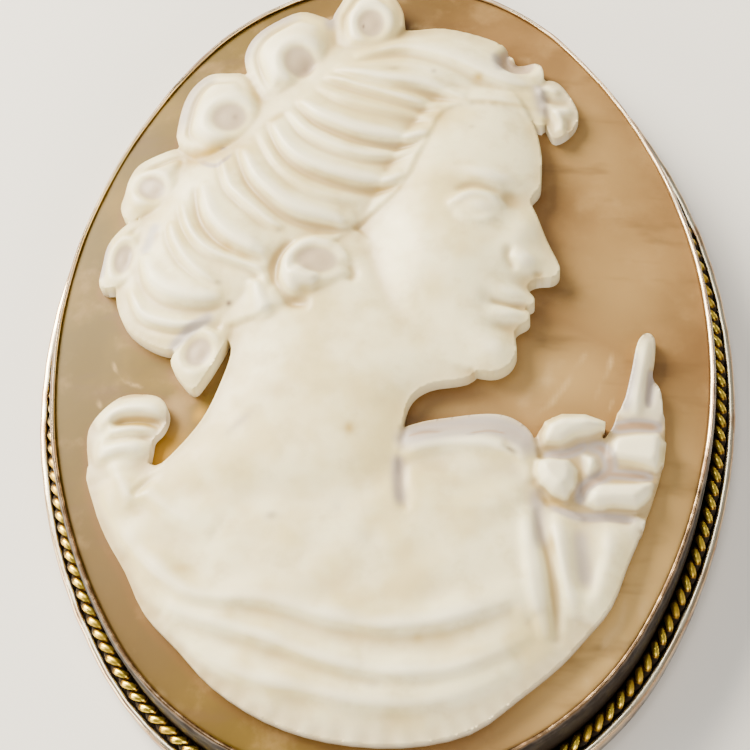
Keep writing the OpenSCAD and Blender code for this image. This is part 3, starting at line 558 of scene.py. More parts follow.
def softened(high, on, times):
    """Heights worn by averaging with the neighbours that are part of the carving."""
    high = np.where(on, high, 0)
    weight = on.astype(float)
    for _ in range(times):
        for axis in (0, 1):
            total = with_neighbours(high * weight, axis)
            high = np.where(on, total / np.maximum(with_neighbours(weight, axis), 1e-9), 0)
    return high


def slide_to_outline(x, y, high):
    """Moves the grid's points that are about half a cell from the outline onto it, down the slope of the
    distance inside, and gives them the height just within it."""
    grown, shrunk = high > 0, high > 0
    for axis in (0, 1):
        for way in (-1, 1):
            grown |= np.roll(grown, way, axis)
            shrunk &= np.roll(shrunk, way, axis)
    edge = grown & ~shrunk
    step, within, lowest = 0.02, 0.03, 0.2
    qx, qy = x[edge], y[edge]
    depth = inset(qx, qy)
    gx, gy = (inset(qx + step, qy) - depth) / step, (inset(qx, qy + step) - depth) / step
    slope = np.maximum(np.hypot(gx, gy), 0.3)
    close = np.abs(depth) / slope < 0.55 * CELL
    sx = np.where(close, qx - gx * depth / slope ** 2, qx)
    sy = np.where(close, qy - gy * depth / slope ** 2, qy)
    h = carved(sx + within * gx / slope * close, sy + within * gy / slope * close)[0]
    h = np.where(close, np.maximum(h, lowest), np.where(depth > 0, h, OUT))
    x[edge], y[edge], high[edge] = sx, sy, h


def carving_faces(on):
    """Faces of the grid with all four corners carved, triangles where three are, and the carving's edge,
    which is the sides that only one of these faces has."""
    quads = grid_faces(*on.shape)
    used = on.ravel()[quads]
    corners = used.sum(1)
    gap = np.argmin(used[corners == 3], 1)
    cut_corners = np.take_along_axis(quads[corners == 3], (gap[:, None] + [1, 2, 3]) % 4, 1)
    quads = quads[corners == 4]
    sides = np.vstack([f[:, [k, (k + 1) % f.shape[1]]]
                       for f in (quads, cut_corners) for k in range(f.shape[1])])
    there, back = sides @ [on.size, 1], sides @ [1, on.size]
    return quads, cut_corners, sides[~np.isin(there, back)]


def relief(material):
    """The carving: a grid over the dome, with upright walls from its edge down into the shell and a fan that
    closes them underneath. It carries how high and how hollow each point is, and its stains."""
    x, y = np.meshgrid(np.arange(-16.6, 16.4, CELL), np.arange(-23.4, 23.4, CELL))
    high, bowl = carved(x, y)
    slide_to_outline(x, y, high)
    on = high > 0
    high = softened(high, on, 2)
    low = (softened(high, on, 40) + softened(high, on, 160)) / 2
    quads, cut_corners, edge = carving_faces(on)
    foot = np.unique(edge)
    under = np.full(on.size, -1)
    under[foot] = on.size + np.arange(len(foot))
    walls = np.column_stack([edge[:, ::-1], under[edge]])
    closing = np.column_stack([under[edge[:, ::-1]], np.full(len(edge), on.size + len(foot))])
    fx, fy = x.ravel(), y.ravel()
    top = np.column_stack([fx, fy, dome(fx, fy) + high.ravel()])
    base = np.column_stack([fx[foot], fy[foot], np.full(len(foot), FLOOR_Z)])
    points = np.vstack([top, base, [[0, 0, FLOOR_Z]]])
    quads, triangles = np.vstack([quads, walls]), np.vstack([cut_corners, closing])
    keep = np.isin(np.arange(len(points)), np.concatenate([quads.ravel(), triangles.ravel()]))
    new = np.cumsum(keep) - 1
    numbers = {"height": high, "hollow": low - high, "bowl": bowl, "ochre": spots(x, y, OCHRE),
               "brown": spots(x, y, BROWN), "thin": blends(x, y, THIN)}
    at_base = np.zeros(len(foot) + 1)
    fields = {name: np.concatenate([values.ravel(), at_base])[keep] for name, values in numbers.items()}
    return piece("relief", points[keep], new[quads], material, fields, new[triangles])


# Spots on the carving: stains that age left, and under the curl at about (-10, 11.5) an ochre crescent with
# a brown speck that is partly stain and partly painted shade under its overhang. Middle, half length, half
# width, turn, strength
OCHRE = [
    (-1.3, -6.2, 0.3, 0.35, 0, 0.8), (-5.3, -3.9, 0.9, 0.7, 0, 0.5), (-8.4, 4.95, 0.5, 0.28, -35, 0.8),
    (-7.5, 4.4, 0.6, 0.25, -30, 0.5), (5.8, 16.25, 0.3, 0.25, 0, 0.8), (3.5, 13.5, 0.55, 0.7, 0, 0.5),
    (-13.2, -5.05, 1.4, 0.3, 0, 0.8), (-10, 11.5, 2.2, 0.65, 8, 1), (-5.9, 13.6, 0.7, 0.3, 35, 0.7),
    (-7.4, 15.4, 0.3, 0.9, 20, 0.5), (0.6, 8.5, 1.3, 0.25, 0, 0.6), (-12.6, 6.3, 0.22, 0.25, 0, 0.6),
    (2.4, -17.6, 0.3, 0.3, 0, 0.4), (-7.4, -16.3, 0.9, 0.35, -15, 0.4), (-12.9, -10.3, 0.4, 0.3, 0, 0.4),
    (-10.2, -13.6, 0.5, 0.3, 0, 0.4), (6.8, 14.35, 2.2, 0.2, -4, 0.6), (9.4, -12.4, 0.15, 0.9, 12, 0.7),
    (9.6, -10.1, 0.8, 0.2, -20, 0.6), (-3.9, 2, 0.5, 0.3, -20, 0.4), (3.4, -9, 1.6, 0.7, 0, 0.3),
    (-4, -15, 5, 0.9, -4, 0.25)]
BROWN = [
    (-8.2, 1.6, 0.18, 0.18, 0, 1.0), (-7.3, -5.6, 0.9, 0.25, 40, 0.45), (-5.4, -10.9, 0.35, 0.25, 0, 0.5),
    (7.3, -7.3, 0.4, 0.14, -30, 0.8), (-1, 20, 0.07, 0.14, 0, 1.0), (3.2, 16.5, 0.16, 0.16, 0, 0.5),
    (0.9, 16.7, 0.35, 0.15, 0, 0.4), (-0.4, -12.2, 0.5, 0.5, 0, 0.25), (-1.9, -10.5, 0.4, 0.4, 0, 0.2),
    (0.1, -20, 0.45, 0.3, 0, 0.3), (-9, 11.75, 0.22, 0.1, 0, 0.9), (-8.4, 13.8, 0.15, 0.15, 0, 0.4),
    (-8.8, 2.8, 0.25, 0.15, 0, 0.4), (-12.1, -4.9, 0.5, 0.2, 0, 0.4), (2.8, -6.2, 0.8, 0.16, 5, 0.4),
    (5.4, 12.5, 0.2, 0.15, 0, 0.3), (-5.5, 5.9, 0.2, 0.15, 0, 0.4), (1.4, -9.3, 0.35, 1.4, 0, 0.3)]

# Lines along which the cream layer is thin, lilac at half strength and tan at full, with strength, half
# width and line
THIN = [
    (0.85, 0.28, [(12, -8.35), (13.4, -8.4), (15, -8.5)]),
    (1.0, 0.35, [(12.7, -5.75), (14, -5.55), (15.6, -5.6)]),
    (0.6, 0.3, [(9.2, -10.2), (10.6, -10.8), (12.4, -10.85), (14.2, -10.9)]),
    (0.8, 0.4, [(11.3, -6.9), (12.3, -7), (12.6, -8.2), (11.3, -9.2), (10.9, -10.2)]),
    (0.7, 0.3, [(9, -7.45), (10.4, -7.3), (11.6, -6.7)]),
    (0.5, 0.4, [(14.3, -1), (14, -2.6), (13.7, -4), (13.6, -5)]),
    (0.6, 0.25, [(15.1, -2.2), (15, -3.2), (14.8, -4.6)]),
    (0.62, 0.75, [(1, -7.1), (2.4, -6.4), (4.4, -6), (6.4, -5.9), (7.8, -6.5), (8.5, -7.8)]),
    (0.85, 0.18, [(1.6, -6.6), (2.6, -6.3), (4, -6.3)]),
    (0.85, 0.16, [(4.8, -6.5), (6.2, -6.2), (7.4, -6.4)]),
    (0.4, 0.5, [(8.6, -9.2), (8.7, -11), (8.8, -13)]),
    (0.4, 0.6, [(10.9, -11.4), (11, -13.2), (11.2, -15)]),
    (0.75, 0.16, [(-10.7, 11.7), (-10.1, 10.9), (-9.3, 10.6), (-8.4, 11.3)]),
    (0.55, 0.4, [(-11.6, -1), (-10.4, 0.1), (-9, 1.1)]),
    (0.6, 0.5, [(-11.2, -3.4), (-10.9, -4.4), (-11.3, -5.6)]),
    (0.45, 0.45, [(-12.7, 7.3), (-13, 6.2), (-13.4, 5)]),
    (0.4, 0.5, [(-2.6, 22.8), (-3, 21.4), (-3, 19.8)]),
    (0.4, 0.6, [(-8.2, 17.4), (-7.8, 19.4), (-6.4, 20.8), (-4.6, 21.3)]),
    (0.4, 0.5, [(-11.6, 13), (-11.4, 15), (-10.8, 16.6), (-9.6, 17.1)]),
    (0.45, 0.5, [(9.2, 16.2), (9.4, 15), (9.6, 13.6)]),
    (0.4, 0.4, [(6.8, 18.4), (6.9, 17.4), (7.2, 16.6)]),
    (0.5, 0.3, [(-15.6, 6.6), (-15.8, 5), (-15.9, 3.8)]),
    (0.45, 0.45, [(1.3, -7.4), (1.3, -9), (1.5, -10.6)])]


def spots(x, y, rows):
    """Strength of a set of soft oval spots: each falls off as a bell curve of the distance in half sizes."""
    total = np.zeros(x.shape)
    for mx, my, long, wide, turn, strength in rows:
        u, v = turned(x - mx, y - my, turn)
        total = np.maximum(total, strength * np.exp(-(u / long) ** 2 - (v / wide) ** 2))
    return total


def blends(x, y, rows):
    """Strength of a set of soft lines: the strongest of them at each point."""
    return np.maximum.reduce([stroke(x, y, line, wide, lambda s, t: strength * cut(s, t))
                              for strength, wide, line in rows])


# Where the cream layer was not quite cut away from the ground: strength, half width, line
FILM = [
    (0.8, 0.5, [(-8.3, 0.2), (-8.9, -1.4), (-9.9, -3)]),
    (0.9, 0.6, [(-11.6, -3.2), (-11, -4), (-10.9, -5), (-11.3, -5.8)]),
    (0.6, 0.5, [(2.2, -4.8), (4.4, -4.6), (6.4, -4.7), (7.6, -5.4)]),
    (0.4, 0.4, [(11.3, 12.2), (11, 11.4)])]
# Painted shade on the ground at the top and lower left, painted light down the right, and ochre notch
# stains, as soft ovals like the spots
PAINTED_SHADE_OVALS = [(1, 23.6, 10, 3.4, 0, 0.75), (-13, -15, 5, 9, 30, 0.9)]
PAINTED_LIGHT_OVALS = [
    (12.8, -16.6, 3.4, 10, -32, 1), (15.6, -10, 2.4, 6, -8, 0.7), (10, -2.6, 4, 3, 0, 0.6),
    (13.4, 3.4, 3.4, 5, 0, 0.45), (12.6, 12, 3, 6, 20, 0.4)]
NOTCH = [(-11.8, -6.8, 0.7, 1.6, -35, 1), (-9.8, -4.4, 0.35, 0.5, -35, 0.7)]

# Pale lines in the ground: lines of growth, and broad faint rows at the right of the head that paint a
# reflection. Strength, half width, line
PALE_LINES_AND_REFLECTION = [
    (0.8, 0.16, [(-15.1, -0.6), (-14.8, -1.4), (-14.2, -2.1), (-13, -2.6)]),
    (0.7, 0.22, [(-15.9, -3), (-15.5, -3.6)]),
    (0.8, 0.24, [(8.6, -5), (10, -3.6), (11.1, -1.8), (11.9, -0.6)]),
    (0.9, 0.22, [(11.9, -4.2), (12.6, -2.4), (13.3, -0.4)]),
    (0.8, 0.18, [(12.6, -4.6), (13, -3.6)]),
    (0.8, 0.6, [(7.4, -4.2), (8.6, -3.6), (9.6, -2.4), (10, -1)]),
    (0.7, 0.22, [(7.9, 19.4), (8.4, 20.6)]),
    (0.7, 0.5, [(1.4, 21.4), (2.4, 20.9), (3.4, 20.8)]),
    (0.7, 0.35, [(-4, 21.4), (-3.2, 22), (-2.4, 22.4)]),
    (0.35, 0.5, [(11.4, 9.4), (12.2, 9.9), (13.2, 10)]),
    (0.3, 0.7, [(10.6, 7.2), (11.8, 8.2), (13.4, 8.8), (14.6, 8.4)]),
    (0.3, 0.9, [(11, 3.8), (12.6, 4.6), (14.6, 5)]),
    (0.6, 0.35, [(-12.6, 19), (-11, 20.2)]),
    (0.8, 0.35, [(8, 18.6), (9, 18.4)]),
    (0.3, 0.9, [(10.4, 14.5), (11.8, 16), (12.8, 17.4)]),
    (1.0, 0.28, [(11.2, -18.4), (12.2, -17.2), (12.9, -16.4), (13.3, -15.2), (14, -14.2)]),
    (0.8, 0.4, [(10.6, -19.6), (11.4, -19.2)]),
    (0.6, 0.8, [(12, -19), (13.6, -16.6), (14.8, -13.6)]),
    (0.5, 0.5, [(-11.8, -19.4), (-10, -21)])]


def ground(material):
    """The shell that the carving stands on: rings of the egg from its middle out to the edge, then down its
    side and back in under the dome. It carries its clouds of painted light and shade, a painted shadow along
    the carving's foot, its pale lines of growth, with broad faint ones that paint a reflection, and its
    stains."""
    gap, shell_floor, unevenness = 0.05, 2.55, 0.025
    top_rings, side_rings, under_rings = 110, 3, 23
    line, out = egg_line(420)
    line = line - gap * out
    share = np.concatenate([np.linspace(0, 1, top_rings + 1)[1:], np.ones(side_rings),
                            np.linspace(1, 0, under_rings + 1)[:-1]])
    x, y = share[:, None] * line[:, 0], share[:, None] * line[:, 1]
    surface = dome(x, y)
    z = surface + unevenness * waves(x, y, 5.5, 4) * (1 - share[:, None] ** 6)
    side, below = slice(top_rings, top_rings + side_rings), slice(top_rings + side_rings, None)
    z[side] = surface[side] + (shell_floor - surface[side]) * np.array([0.02, 0.5, 1])[:, None]
    z[below] = np.maximum(surface - SHELL_THICK, shell_floor)[below]
    points = np.column_stack([x.ravel(), y.ravel(), z.ravel()])
    points = np.vstack([points, [0, 0, dome(0, 0)], [0, 0, dome(0, 0) - SHELL_THICK]])
    ring, last_ring = np.arange(len(line)), x.size - len(line) + np.arange(len(line))
    caps = np.vstack([fan(ring, x.size), fan(last_ring, x.size + 1, facing_down=True)])
    px, py = points[:, 0], points[:, 1]
    fields = {"pale": blends(px, py, PALE_LINES_AND_REFLECTION) * (0.75 + 0.5 * waves(px, py, 1.6, 31)),
              # foot is a painted shadow in a band about 0.75 mm wide round the carving
              "foot": ease((inset(px, py) + 0.75) / 0.7), "notch": spots(px, py, NOTCH),
              # dark is painted shade and light is painted light, in broad ovals
              "film": blends(px, py, FILM), "dark": spots(px, py, PAINTED_SHADE_OVALS), "light": spots(px, py, PAINTED_LIGHT_OVALS)}
    faces = grid_faces(*x.shape, close_cols=True)[:, ::-1]
    return piece("shell_ground", points, faces, material, fields, caps)


# The metal
def rounded(corners, per=5):
    """A closed outline with its corners rounded: each corner, given as across, up and radius, becomes a
    curve between the points that its radius cuts off, bent towards the corner."""
    c = np.array(corners, float)
    p, r = c[:, :2], c[:, 2:]
    back, on = np.roll(p, 1, 0) - p, np.roll(p, -1, 0) - p
    a = p + back / np.linalg.norm(back, axis=1, keepdims=True) * r
    b = p + on / np.linalg.norm(on, axis=1, keepdims=True) * r
    t = np.linspace(0, 1, per)[None, :, None]
    return ((1 - t) ** 2 * a[:, None] + 2 * t * (1 - t) * p[:, None] + t ** 2 * b[:, None]).reshape(-1, 2)


# The setting cut through: outward from the opening, up from the back, corner radius
SECTION = [(-1.3, 2.05, 0.08), (-1.3, 2.5, 0.1), (0, 2.5, 0.02), (0, 5.14, 0.05), (-0.1, 5.3, 0.03),
    (-0.1, 5.4, 0.03), (0, 5.5, 0.08), (0.12, 5.45, 0.08), (0.28, 4.9, 0.25), (0.28, 1.3, 0.05),
    (1.13, 1.3, 0.05), (1.15, 1.62, 0.18), (1.6, 1.62, 0.24), (1.6, 0.06, 0.05), (1.54, 0, 0.04),
    (1.05, 0, 0.1), (1.05, 0.65, 0.04), (0, 0.65, 0.04), (0, 2.05, 0.02)]


def bezel(material):
    """The setting: its section carried round the egg, a little dented by hand work. It carries dirt and
    painted shade in its corners, a painted dark reflection over the wall's lower half, and painted
    highlights along the rim's top and on the lip's edge in the upper half."""
    section = rounded(SECTION)
    line, out = egg_line(720)
    n = len(line)
    way = np.arange(n) * 2 * np.pi / n
    across, up = (section[:, k, None] + np.zeros(n) for k in (0, 1))
    wobble = waves(12 * np.cos(way), 12 * np.sin(way), 4, 11)
    dent = waves(30 * np.cos(way), 30 * np.sin(way), 3, 12)
    lip = ease((up - 5.2) / 0.3)
    rim = ease((across - 0.95) / 0.15) * ease((up - 1) / 0.5)
    across = across + lip * 0.03 * wobble - rim * 0.02 * dent
    up = up + lip * 0.02 * dent + rim * 0.03 * wobble
    x = line[:, 0] + across * out[:, 0]
    y = line[:, 1] + across * out[:, 1]
    points = np.column_stack([x.ravel(), y.ravel(), up.ravel()])
    # Dirt and painted shade in the corners: by the rope, under the rim and under the lip
    by_the_rope = 1.1 * ease((across - 0.12) / 0.1) * ease((1.17 - across) / 0.1)
    by_the_rope = by_the_rope * ease((5.15 - up) / 0.5) * ease((up - 0.9) / 0.2)
    under_the_rim = 0.55 * ease((across - 1.45) / 0.12) * ease((1.3 - up) / 0.3)
    under_the_lip = 0.35 * ease((up - 4.6) / 0.3) * ease((across - 0.02) / 0.1)
    # A painted dark reflection over the wall's lower half
    lower_half = ease((-2 - y) / 8)
    painted_dark_on_wall = 0.85 * lower_half * ease((up - 2.6) / 0.2) * ease((0.5 - across) / 0.1)
    painted_dark_on_wall = painted_dark_on_wall * (0.4 + 0.6 * ease((across - 0.1) / 0.1))
    crevice_grime_and_shade = np.maximum.reduce([by_the_rope, under_the_rim, under_the_lip, painted_dark_on_wall])
    # A painted highlight along the rim's top, and a weaker one on the lip's edge in the upper half
    rim_top_highlight = ease((up - 1.42) / 0.08) * ease((across - 1.13) / 0.05) * ease((1.5 - across) / 0.08)
    rim_top_highlight = rim_top_highlight * ease((3 - up) / 1) * ease(0.9 + 0.8 * dent)
    lip_edge_highlight = 0.6 * (1 - lower_half) * ease((up - 5.25) / 0.1) * ease((0.04 - across) / 0.06)
    return piece("bezel", points, grid_faces(len(section), n, True, True), material,
                 {"crevice_grime_and_shade": crevice_grime_and_shade, "painted_highlight": np.maximum(rim_top_highlight, lip_edge_highlight)})


# The bail: radius of its eye, thickness and width of its band, and the solder block at its foot
EYE_R, BAND, BAND_W = 1.7, 0.55, 1.8
BLOCK_START, BLOCK_LONG = 1.325, 1.2
bail_r = EYE_R + BAND
bail_y = half_h + 1.6 + bail_r - 0.4
bail_z = bail_r + 0.15


def bail(material):
    """The loop at the top: a band with rounded edges carried round the eye."""
    w = BAND_W / 2
    section = rounded([(-w, EYE_R, 0.06), (w, EYE_R, 0.06), (w, bail_r, 0.2), (-w, bail_r, 0.2)], 6)
    turn = np.arange(96) * 2 * np.pi / 96
    x = section[:, 0, None] + 0 * turn
    y = bail_y + section[:, 1, None] * np.cos(turn)
    z = bail_z + section[:, 1, None] * np.sin(turn)
    points = np.column_stack([x.ravel(), y.ravel(), z.ravel()])
    return piece("bail", points, grid_faces(*x.shape, True, True), material, {"crevice_grime_and_shade": np.zeros(x.size)})


def bail_foot(material):
    """The solder block under the loop: a rounded outline raised in layers, each with its own share of the
    outline's size, and closed at both ends."""
    y0 = half_h + BLOCK_START
    y1, w = y0 + BLOCK_LONG, BAND_W / 2
    line = rounded([(-w, y0, 0.05), (w, y0, 0.05), (w, y1, 0.3), (-w, y1, 0.3)])
    middle = line.mean(0)
    n = len(line)
    layers = [(0.9, 0.15), (1, 0.25), (1, 1.85), (0.85, 2.05)]
    points = np.vstack([np.column_stack([middle + (line - middle) * s, np.full(n, z)]) for s, z in layers])
    points = np.vstack([points, [*middle, layers[0][1]], [*middle, layers[-1][1]]])
    ring = np.arange(n)
    caps = np.vstack([fan(ring, 4 * n, facing_down=True), fan(3 * n + ring, 4 * n + 1)])
    return piece("bail_foot", points, grid_faces(4, n, close_cols=True), material,
                 {"crevice_grime_and_shade": np.full(4 * n + 2, 0.3)}, caps)


# The rope: twists round the egg, radius of a strand, radius that its middle circles at, and where the
# middle of that circle lies, outward from the opening and up, over the ledge and a small gap
TWISTS, STRAND_R, ARM = 84, 0.23, 0.18
LEDGE_Z, ROPE_GAP = 1.3, 0.02
ROPE_OUT, ROPE_Z = 0.71, LEDGE_Z + ROPE_GAP + STRAND_R + ARM


def strand(name, phase, material):
    """One of the two strands: a round wire whose middle circles the rope's line once a twist. It carries
    dirt and painted shade where it faces the other strand or the ledge."""
    rings, sides = 14 * TWISTS, 10
    line, out = egg_line(rings)
    turn = np.arange(rings) * 2 * np.pi * TWISTS / rings + phase
    arm = np.column_stack([np.cos(turn)[:, None] * out, np.sin(turn)])
    middle = np.column_stack([line + ROPE_OUT * out, np.full(rings, ROPE_Z)]) + ARM * arm
    along = np.roll(middle, -1, 0) - np.roll(middle, 1, 0)
    along /= np.linalg.norm(along, axis=1, keepdims=True)
    over = np.cross(along, arm)
    over /= np.linalg.norm(over, axis=1, keepdims=True)
    arm = np.cross(over, along)
    a = np.arange(sides) * 2 * np.pi / sides
    ring = np.cos(a)[:, None] * arm[:, None] + np.sin(a)[:, None] * over[:, None]
    points = (middle[:, None] + STRAND_R * ring).reshape(-1, 3)
    # Dirt and painted shade where the strand faces the other strand or the ledge
    crevice_grime_and_shade = np.maximum(ease((0.1 - np.cos(a)) / 0.9), ease((0.68 - np.sin(turn[:, None])) / 0.55))
    return piece(name, points, grid_faces(rings, sides, True, True)[:, ::-1], material, {"crevice_grime_and_shade": crevice_grime_and_shade})


# Materials
def colour(code):
    """An sRGB colour like #C8A24A as the linear numbers that shaders take."""
    s = np.array([int(code[k:k + 2], 16) for k in (1, 3, 5)]) / 255
    return (*np.where(s <= 0.04045, s / 12.92, ((s + 0.055) / 1.055) ** 2.4), 1.0)


def add(tree, kind, output=None, **inputs):
    """Adds a node of that kind and returns one of its outputs. A name in small letters is a setting, and the
    others are inputs, where _0 is the first. They take a value, a colour's code or another node's output."""
    node = tree.nodes.new("ShaderNode" + kind)
    for name, value in inputs.items():
        if name.islower():
            setattr(node, name, value)
            continue
        socket = node.inputs[int(name[1:]) if name[0] == "_" else name.replace("_", " ")]
        if isinstance(value, bpy.types.NodeSocket):
            tree.links.new(value, socket)
        else:
            socket.default_value = colour(value) if isinstance(value, str) else value
    return None if output is None else node.outputs[output]


def new_material(name):
    """An empty material, its node tree and the coordinates of the object."""
    m = bpy.data.materials.new(name)
    m.use_nodes = True
    m.node_tree.nodes.clear()
    return m, m.node_tree, add(m.node_tree, "TexCoord", "Object")


def layered(tree, base, layers):
    """A colour with others laid over it in turn. Each layer has the pattern that says how strong it is at a
    place, its colour and, where the pattern isn't used as it is, the pattern's values at which the layer
    starts and is full, with an eased way between them, and how strong it is then."""
    for share, tone, *span in layers:
        if span:
            start, full, strength = span
            share = add(tree, "MapRange", "Result", Value=share, From_Min=start, From_Max=full,
                        To_Max=strength, interpolation_type="SMOOTHSTEP")
        base = add(tree, "Mix", 2, data_type="RGBA", _0=share, _6=base, _7=tone)
    return base


# How strong each finer step of a noise pattern is against the step before
FINER = 0.55


def carved_cream_shell():
    """Cream layer of a seashell, carved and polished: soft white that lets some light in, lilac where it is
    thin, with beige dirt and painted shade in its grooves, a painted highlight on its crests, pinkish bowls
    and old stains. Each noise pattern has the size of its spots in millimetres and its detail."""
    m, tree, place = new_material("carved_cream_shell")
    clouds, mottle, polish, grain = [
        add(tree, "TexNoise", "Fac", Vector=place, Scale=1 / (size * MM), Detail=detail, Roughness=FINER)
        for size, detail in ((5, 3), (1.6, 4), (1.2, 4), (0.9, 4))]
    height, hollow, bowl, thin, ochre, brown = [
        add(tree, "Attribute", "Fac", attribute_name=name)
        for name in ("height", "hollow", "bowl", "thin", "ochre", "brown")]
    base = layered(tree, "#F3E8B8", [
        (clouds, "#DECB8E", 0.4, 0.64, 1),
        (mottle, "#CDBA82", 0.46, 0.72, 0.5),
        (height, "#CDC1AE", 1.1, 0.55, 0.75),
        # Grooves get beige dirt and painted shade, and crests get a painted highlight.
        (hollow, "#B0955F", -0.03, 0.22, 0.9),
        (hollow, "#FBF3D2", -0.02, -0.2, 0.75),
        (bowl, "#A8927C", 0.1, 1, 0.8),
        (thin, "#A59994", 0.05, 0.5, 0.85),
        (thin, "#A2805A", 0.5, 1, 0.9),
        (ochre, "#AC8A2C"),
        (brown, "#6C5644")])
    rough = add(tree, "MapRange", "Result", Value=polish, From_Min=0.3, From_Max=0.7, To_Min=0.36,
                To_Max=0.5, interpolation_type="SMOOTHSTEP")
    bump = add(tree, "Bump", "Normal", Height=grain, Strength=0.35, Distance=0.05 * MM)
    surface = add(tree, "BsdfPrincipled", "BSDF", Base_Color=base, Roughness=rough, Normal=bump,
                  Subsurface_Weight=0.2, Subsurface_Radius=(1.0, 0.8, 0.55), Subsurface_Scale=0.4 * MM)
    add(tree, "OutputMaterial", Surface=surface)
    return m


def tan_shell_ground():
    """Under layer of the shell, scraped flat and half polished: yellow tan at the left, pinkish brown at the
    right, with a painted shadow along the carving's foot, painted shade and painted light in broad ovals,
    drifting clouds, streaks and pale lines of growth, of which the broad faint ones at the right of the head
    paint a reflection."""
    m, tree, place = new_material("tan_shell_ground")
    slanted = add(tree, "Mapping", "Vector", Vector=place, Rotation=(0, 0, 0.9), Scale=(1, 3.5, 1))
    clouds, drift, patchy, grain, streaks = [
        add(tree, "TexNoise", "Fac", Vector=at, Scale=1 / (size * MM), Detail=detail, Roughness=FINER)
        for at, size, detail in (
            (place, 5, 5), (place, 2.4, 5), (place, 1.1, 5), (place, 2.2, 4), (slanted, 6, 3))]
    pale, dark, foot, light, film, notch = [
        add(tree, "Attribute", "Fac", attribute_name=name)
        for name in ("pale", "dark", "foot", "light", "film", "notch")]
    left = layered(tree, "#5C4808", [(clouds, "#705814", 0.4, 0.7, 1)])
    right = layered(tree, "#70502C", [(clouds, "#87653A", 0.4, 0.7, 1)])
    across = add(tree, "SeparateXYZ", "X", Vector=place)
    growth_lines_and_reflection = add(tree, "Math", "Value", operation="MULTIPLY", _0=pale, _1=patchy)
    base = layered(tree, left, [
        (across, right, -9 * MM, 7 * MM, 1),
        # Painted shade in broad ovals
        (dark, "#58421C"),
        # A painted shadow along the carving's foot
        (foot, "#6C481E", 0, 1, 0.45),
        # Painted light in broad ovals
        (light, "#BC9A5E"),
        (drift, "#A08050", 0.52, 0.74, 0.35),
        (streaks, "#5C4224", 0.52, 0.75, 0.5),
        # Pale lines of growth, the broad faint ones a painted reflection
        (growth_lines_and_reflection, "#CCAC76", 0.08, 0.6, 0.55),
        (film, "#8E7244"),
        (notch, "#AC8018")])
    bump = add(tree, "Bump", "Normal", Height=grain, Strength=0.3, Distance=0.05 * MM)
    surface = add(tree, "BsdfPrincipled", "BSDF", Base_Color=base, Roughness=0.48, Specular_IOR_Level=0.2,
                  Normal=bump, Subsurface_Weight=0.15, Subsurface_Radius=(1.0, 0.6, 0.3),
                  Subsurface_Scale=0.8 * MM)
    add(tree, "OutputMaterial", Surface=surface)
    return m


def worn_metal(name, bright, dull, tarnish_and_shade, dark, roughness):
    """Old gold plate, polished once: near white where a painted highlight is marked, duller and rougher in
    patches, tarnished brown in specks and in its crevices, and nearly black deeper in its crevices, where
    matt dirt hides the metal; in the crevices the brown and the black are also painted shade."""
    m, tree, place = new_material(name)
    cloud, speck, scratch = [
        add(tree, "TexNoise", "Fac", Vector=place, Scale=1 / (size * MM), Detail=detail, Roughness=FINER)
        for size, detail in ((2.5, 5), (0.6, 4), (0.5, 4))]
    crevice_grime_and_shade = add(tree, "Attribute", "Fac", attribute_name="crevice_grime_and_shade")
    painted_highlight = add(tree, "Attribute", "Fac", attribute_name="painted_highlight")
    speckled_grime_and_shade = add(tree, "Math", "Value", operation="MULTIPLY_ADD", _0=speck, _1=0.5, _2=crevice_grime_and_shade)
    patch, black_grime_and_shade = [
        add(tree, "MapRange", "Result", Value=value, From_Min=start, From_Max=full,
            interpolation_type="SMOOTHSTEP")
        for value, start, full in ((cloud, 0.42, 0.66), (speckled_grime_and_shade, 0.75, 1.1))]
    metal, shine, clean = [
        add(tree, "MapRange", "Result", Value=value, To_Min=without, To_Max=within,
            interpolation_type="SMOOTHSTEP")
        for value, without, within in (
            (black_grime_and_shade, 1, 0.1), (black_grime_and_shade, 0.5, 0.1), (patch, roughness, roughness + 0.18))]
    base = layered(tree, bright, [
        (patch, dull),
        # A near-white painted highlight
        (painted_highlight, "#FFF2D0"),
        # Tarnished brown in specks, and in the crevices brown and then black: dirt with painted shade
        (speckled_grime_and_shade, tarnish_and_shade, 0.35, 0.65, 1),
        (black_grime_and_shade, dark)])
    rough = add(tree, "Math", "Value", operation="MULTIPLY_ADD", _0=black_grime_and_shade, _1=0.3, _2=clean)
    bump = add(tree, "Bump", "Normal", Height=scratch, Strength=0.3, Distance=0.02 * MM)
    surface = add(tree, "BsdfPrincipled", "BSDF", Base_Color=base, Metallic=metal, Roughness=rough,
                  Specular_IOR_Level=shine, Normal=bump)
    add(tree, "OutputMaterial", Surface=surface)
    return m


rose_gold = worn_metal("worn_rose_gold", "#DCBB92", "#A8805F", "#5C4834", "#1C120C", 0.2)
yellow_gold = worn_metal("worn_yellow_gold", "#F1CF4C", "#CDA432", "#745414", "#1C1206", 0.27)

for o in (ground(tan_shell_ground()), relief(carved_cream_shell())):
    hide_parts("cameo")
for o in (bezel(rose_gold), bail(rose_gold), bail_foot(rose_gold)):
    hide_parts("setting")
for o in (strand("strand_1", 0, yellow_gold), strand("strand_2", np.pi, yellow_gold)):
    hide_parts("twisted_wire")
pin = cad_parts["brooch_pin"]
pin.data.materials.clear()
pin.data.materials.append(yellow_gold)


# The studio
def floor_material():
    """Pale matt board with a faint unevenness."""
    m, tree, place = new_material("pale_matt_board")
    uneven = add(tree, "TexNoise", "Fac", Vector=place, Scale=1 / (30 * MM), Detail=3, Roughness=FINER)
    base = layered(tree, "#DEDBD5", [(uneven, "#E6E3DD")])
    surface = add(tree, "BsdfPrincipled", "BSDF", Base_Color=base, Roughness=0.7)
    add(tree, "OutputMaterial", Surface=surface)
    return m


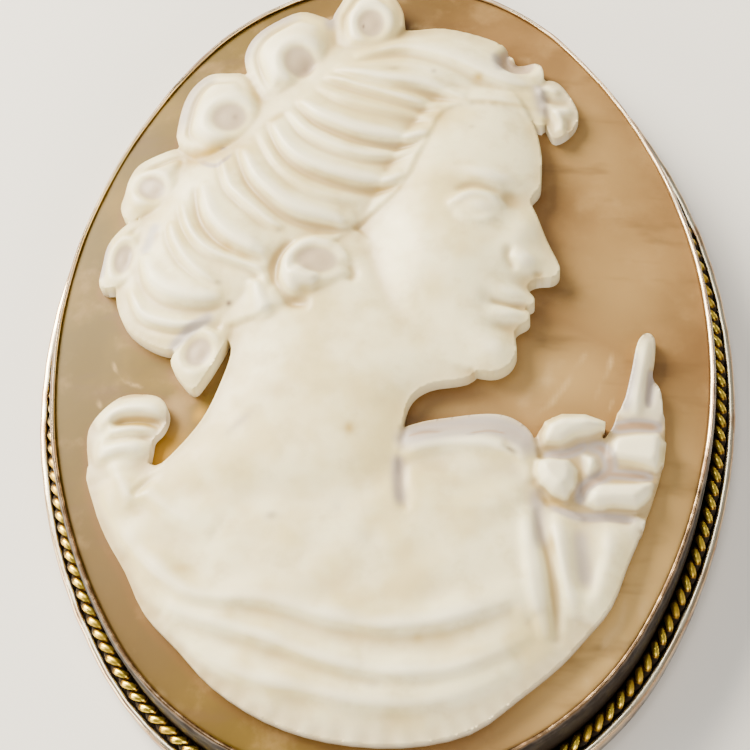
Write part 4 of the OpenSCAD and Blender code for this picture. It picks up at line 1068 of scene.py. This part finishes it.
floor_mesh = bpy.data.meshes.new("floor")
floor_mesh.from_pydata([(-1, -1, 0), (1, -1, 0), (1, 1, 0), (-1, 1, 0)], [], [(0, 1, 2, 3)])
floor_mesh.materials.append(floor_material())
floor = bpy.data.objects.new("floor", floor_mesh)
bpy.context.scene.collection.objects.link(floor)


def soft_box(name, place, size, power, tint):
    """A square soft light at a place in millimetres, turned to the brooch."""
    light = bpy.data.lights.new(name, "AREA")
    light.shape = "SQUARE"
    light.size = size * MM
    light.energy = power
    light.color = colour(tint)[:3]
    place = np.array(place, float) * MM
    z = place / np.linalg.norm(place)
    x = np.cross([0, 1, 0.01], z)
    x /= np.linalg.norm(x)
    o = bpy.data.objects.new(name, light)
    o.matrix_world = Matrix([[x[k], np.cross(z, x)[k], z[k], place[k]] for k in range(3)] + [[0, 0, 0, 1]])
    bpy.context.scene.collection.objects.link(o)


soft_box("window_light", (-230, 190, 210), 200, 5.8, "#FFF6E2")
soft_box("side_light", (-300, -60, 120), 160, 1.0, "#FFF6E6")
soft_box("top_light", (-30, 75, 330), 130, 0.35, "#FFFCF4")
soft_box("low_light", (120, -240, 170), 180, 0.8, "#FFF6E8")

world = bpy.data.worlds.new("studio")
world.use_nodes = True
background = world.node_tree.nodes["Background"]
background.inputs["Color"].default_value = colour("#E9EBEE")
background.inputs["Strength"].default_value = 0.38
bpy.context.scene.world = world

# The photo's camera: close, from below the middle and a little from the right. The part is turned by these
# degrees about Z, X and Y and then shifted in front of the camera.
TURN = (-0.84, -24.25, -4.71)
SHIFT = (0.2, 1.67, -112.41)


def rotation(axis, degrees):
    """Turn about an axis as an array."""
    return np.array(Matrix.Rotation(np.radians(degrees), 3, axis))


see = rotation("Z", TURN[0]) @ rotation("X", TURN[1]) @ rotation("Y", TURN[2])
stand = -see.T @ np.array(SHIFT) + [0, -MIDDLE_Y, LIP_Z]
camera_data = bpy.data.cameras.new("camera")
camera_data.lens = 96
camera_data.sensor_width = 36
camera_data.clip_start = 0.005
camera = bpy.data.objects.new("camera", camera_data)
camera.matrix_world = Matrix([[*see.T[k], stand[k] * MM] for k in range(3)] + [[0, 0, 0, 1]])
bpy.context.scene.collection.objects.link(camera)
bpy.context.scene.camera = camera
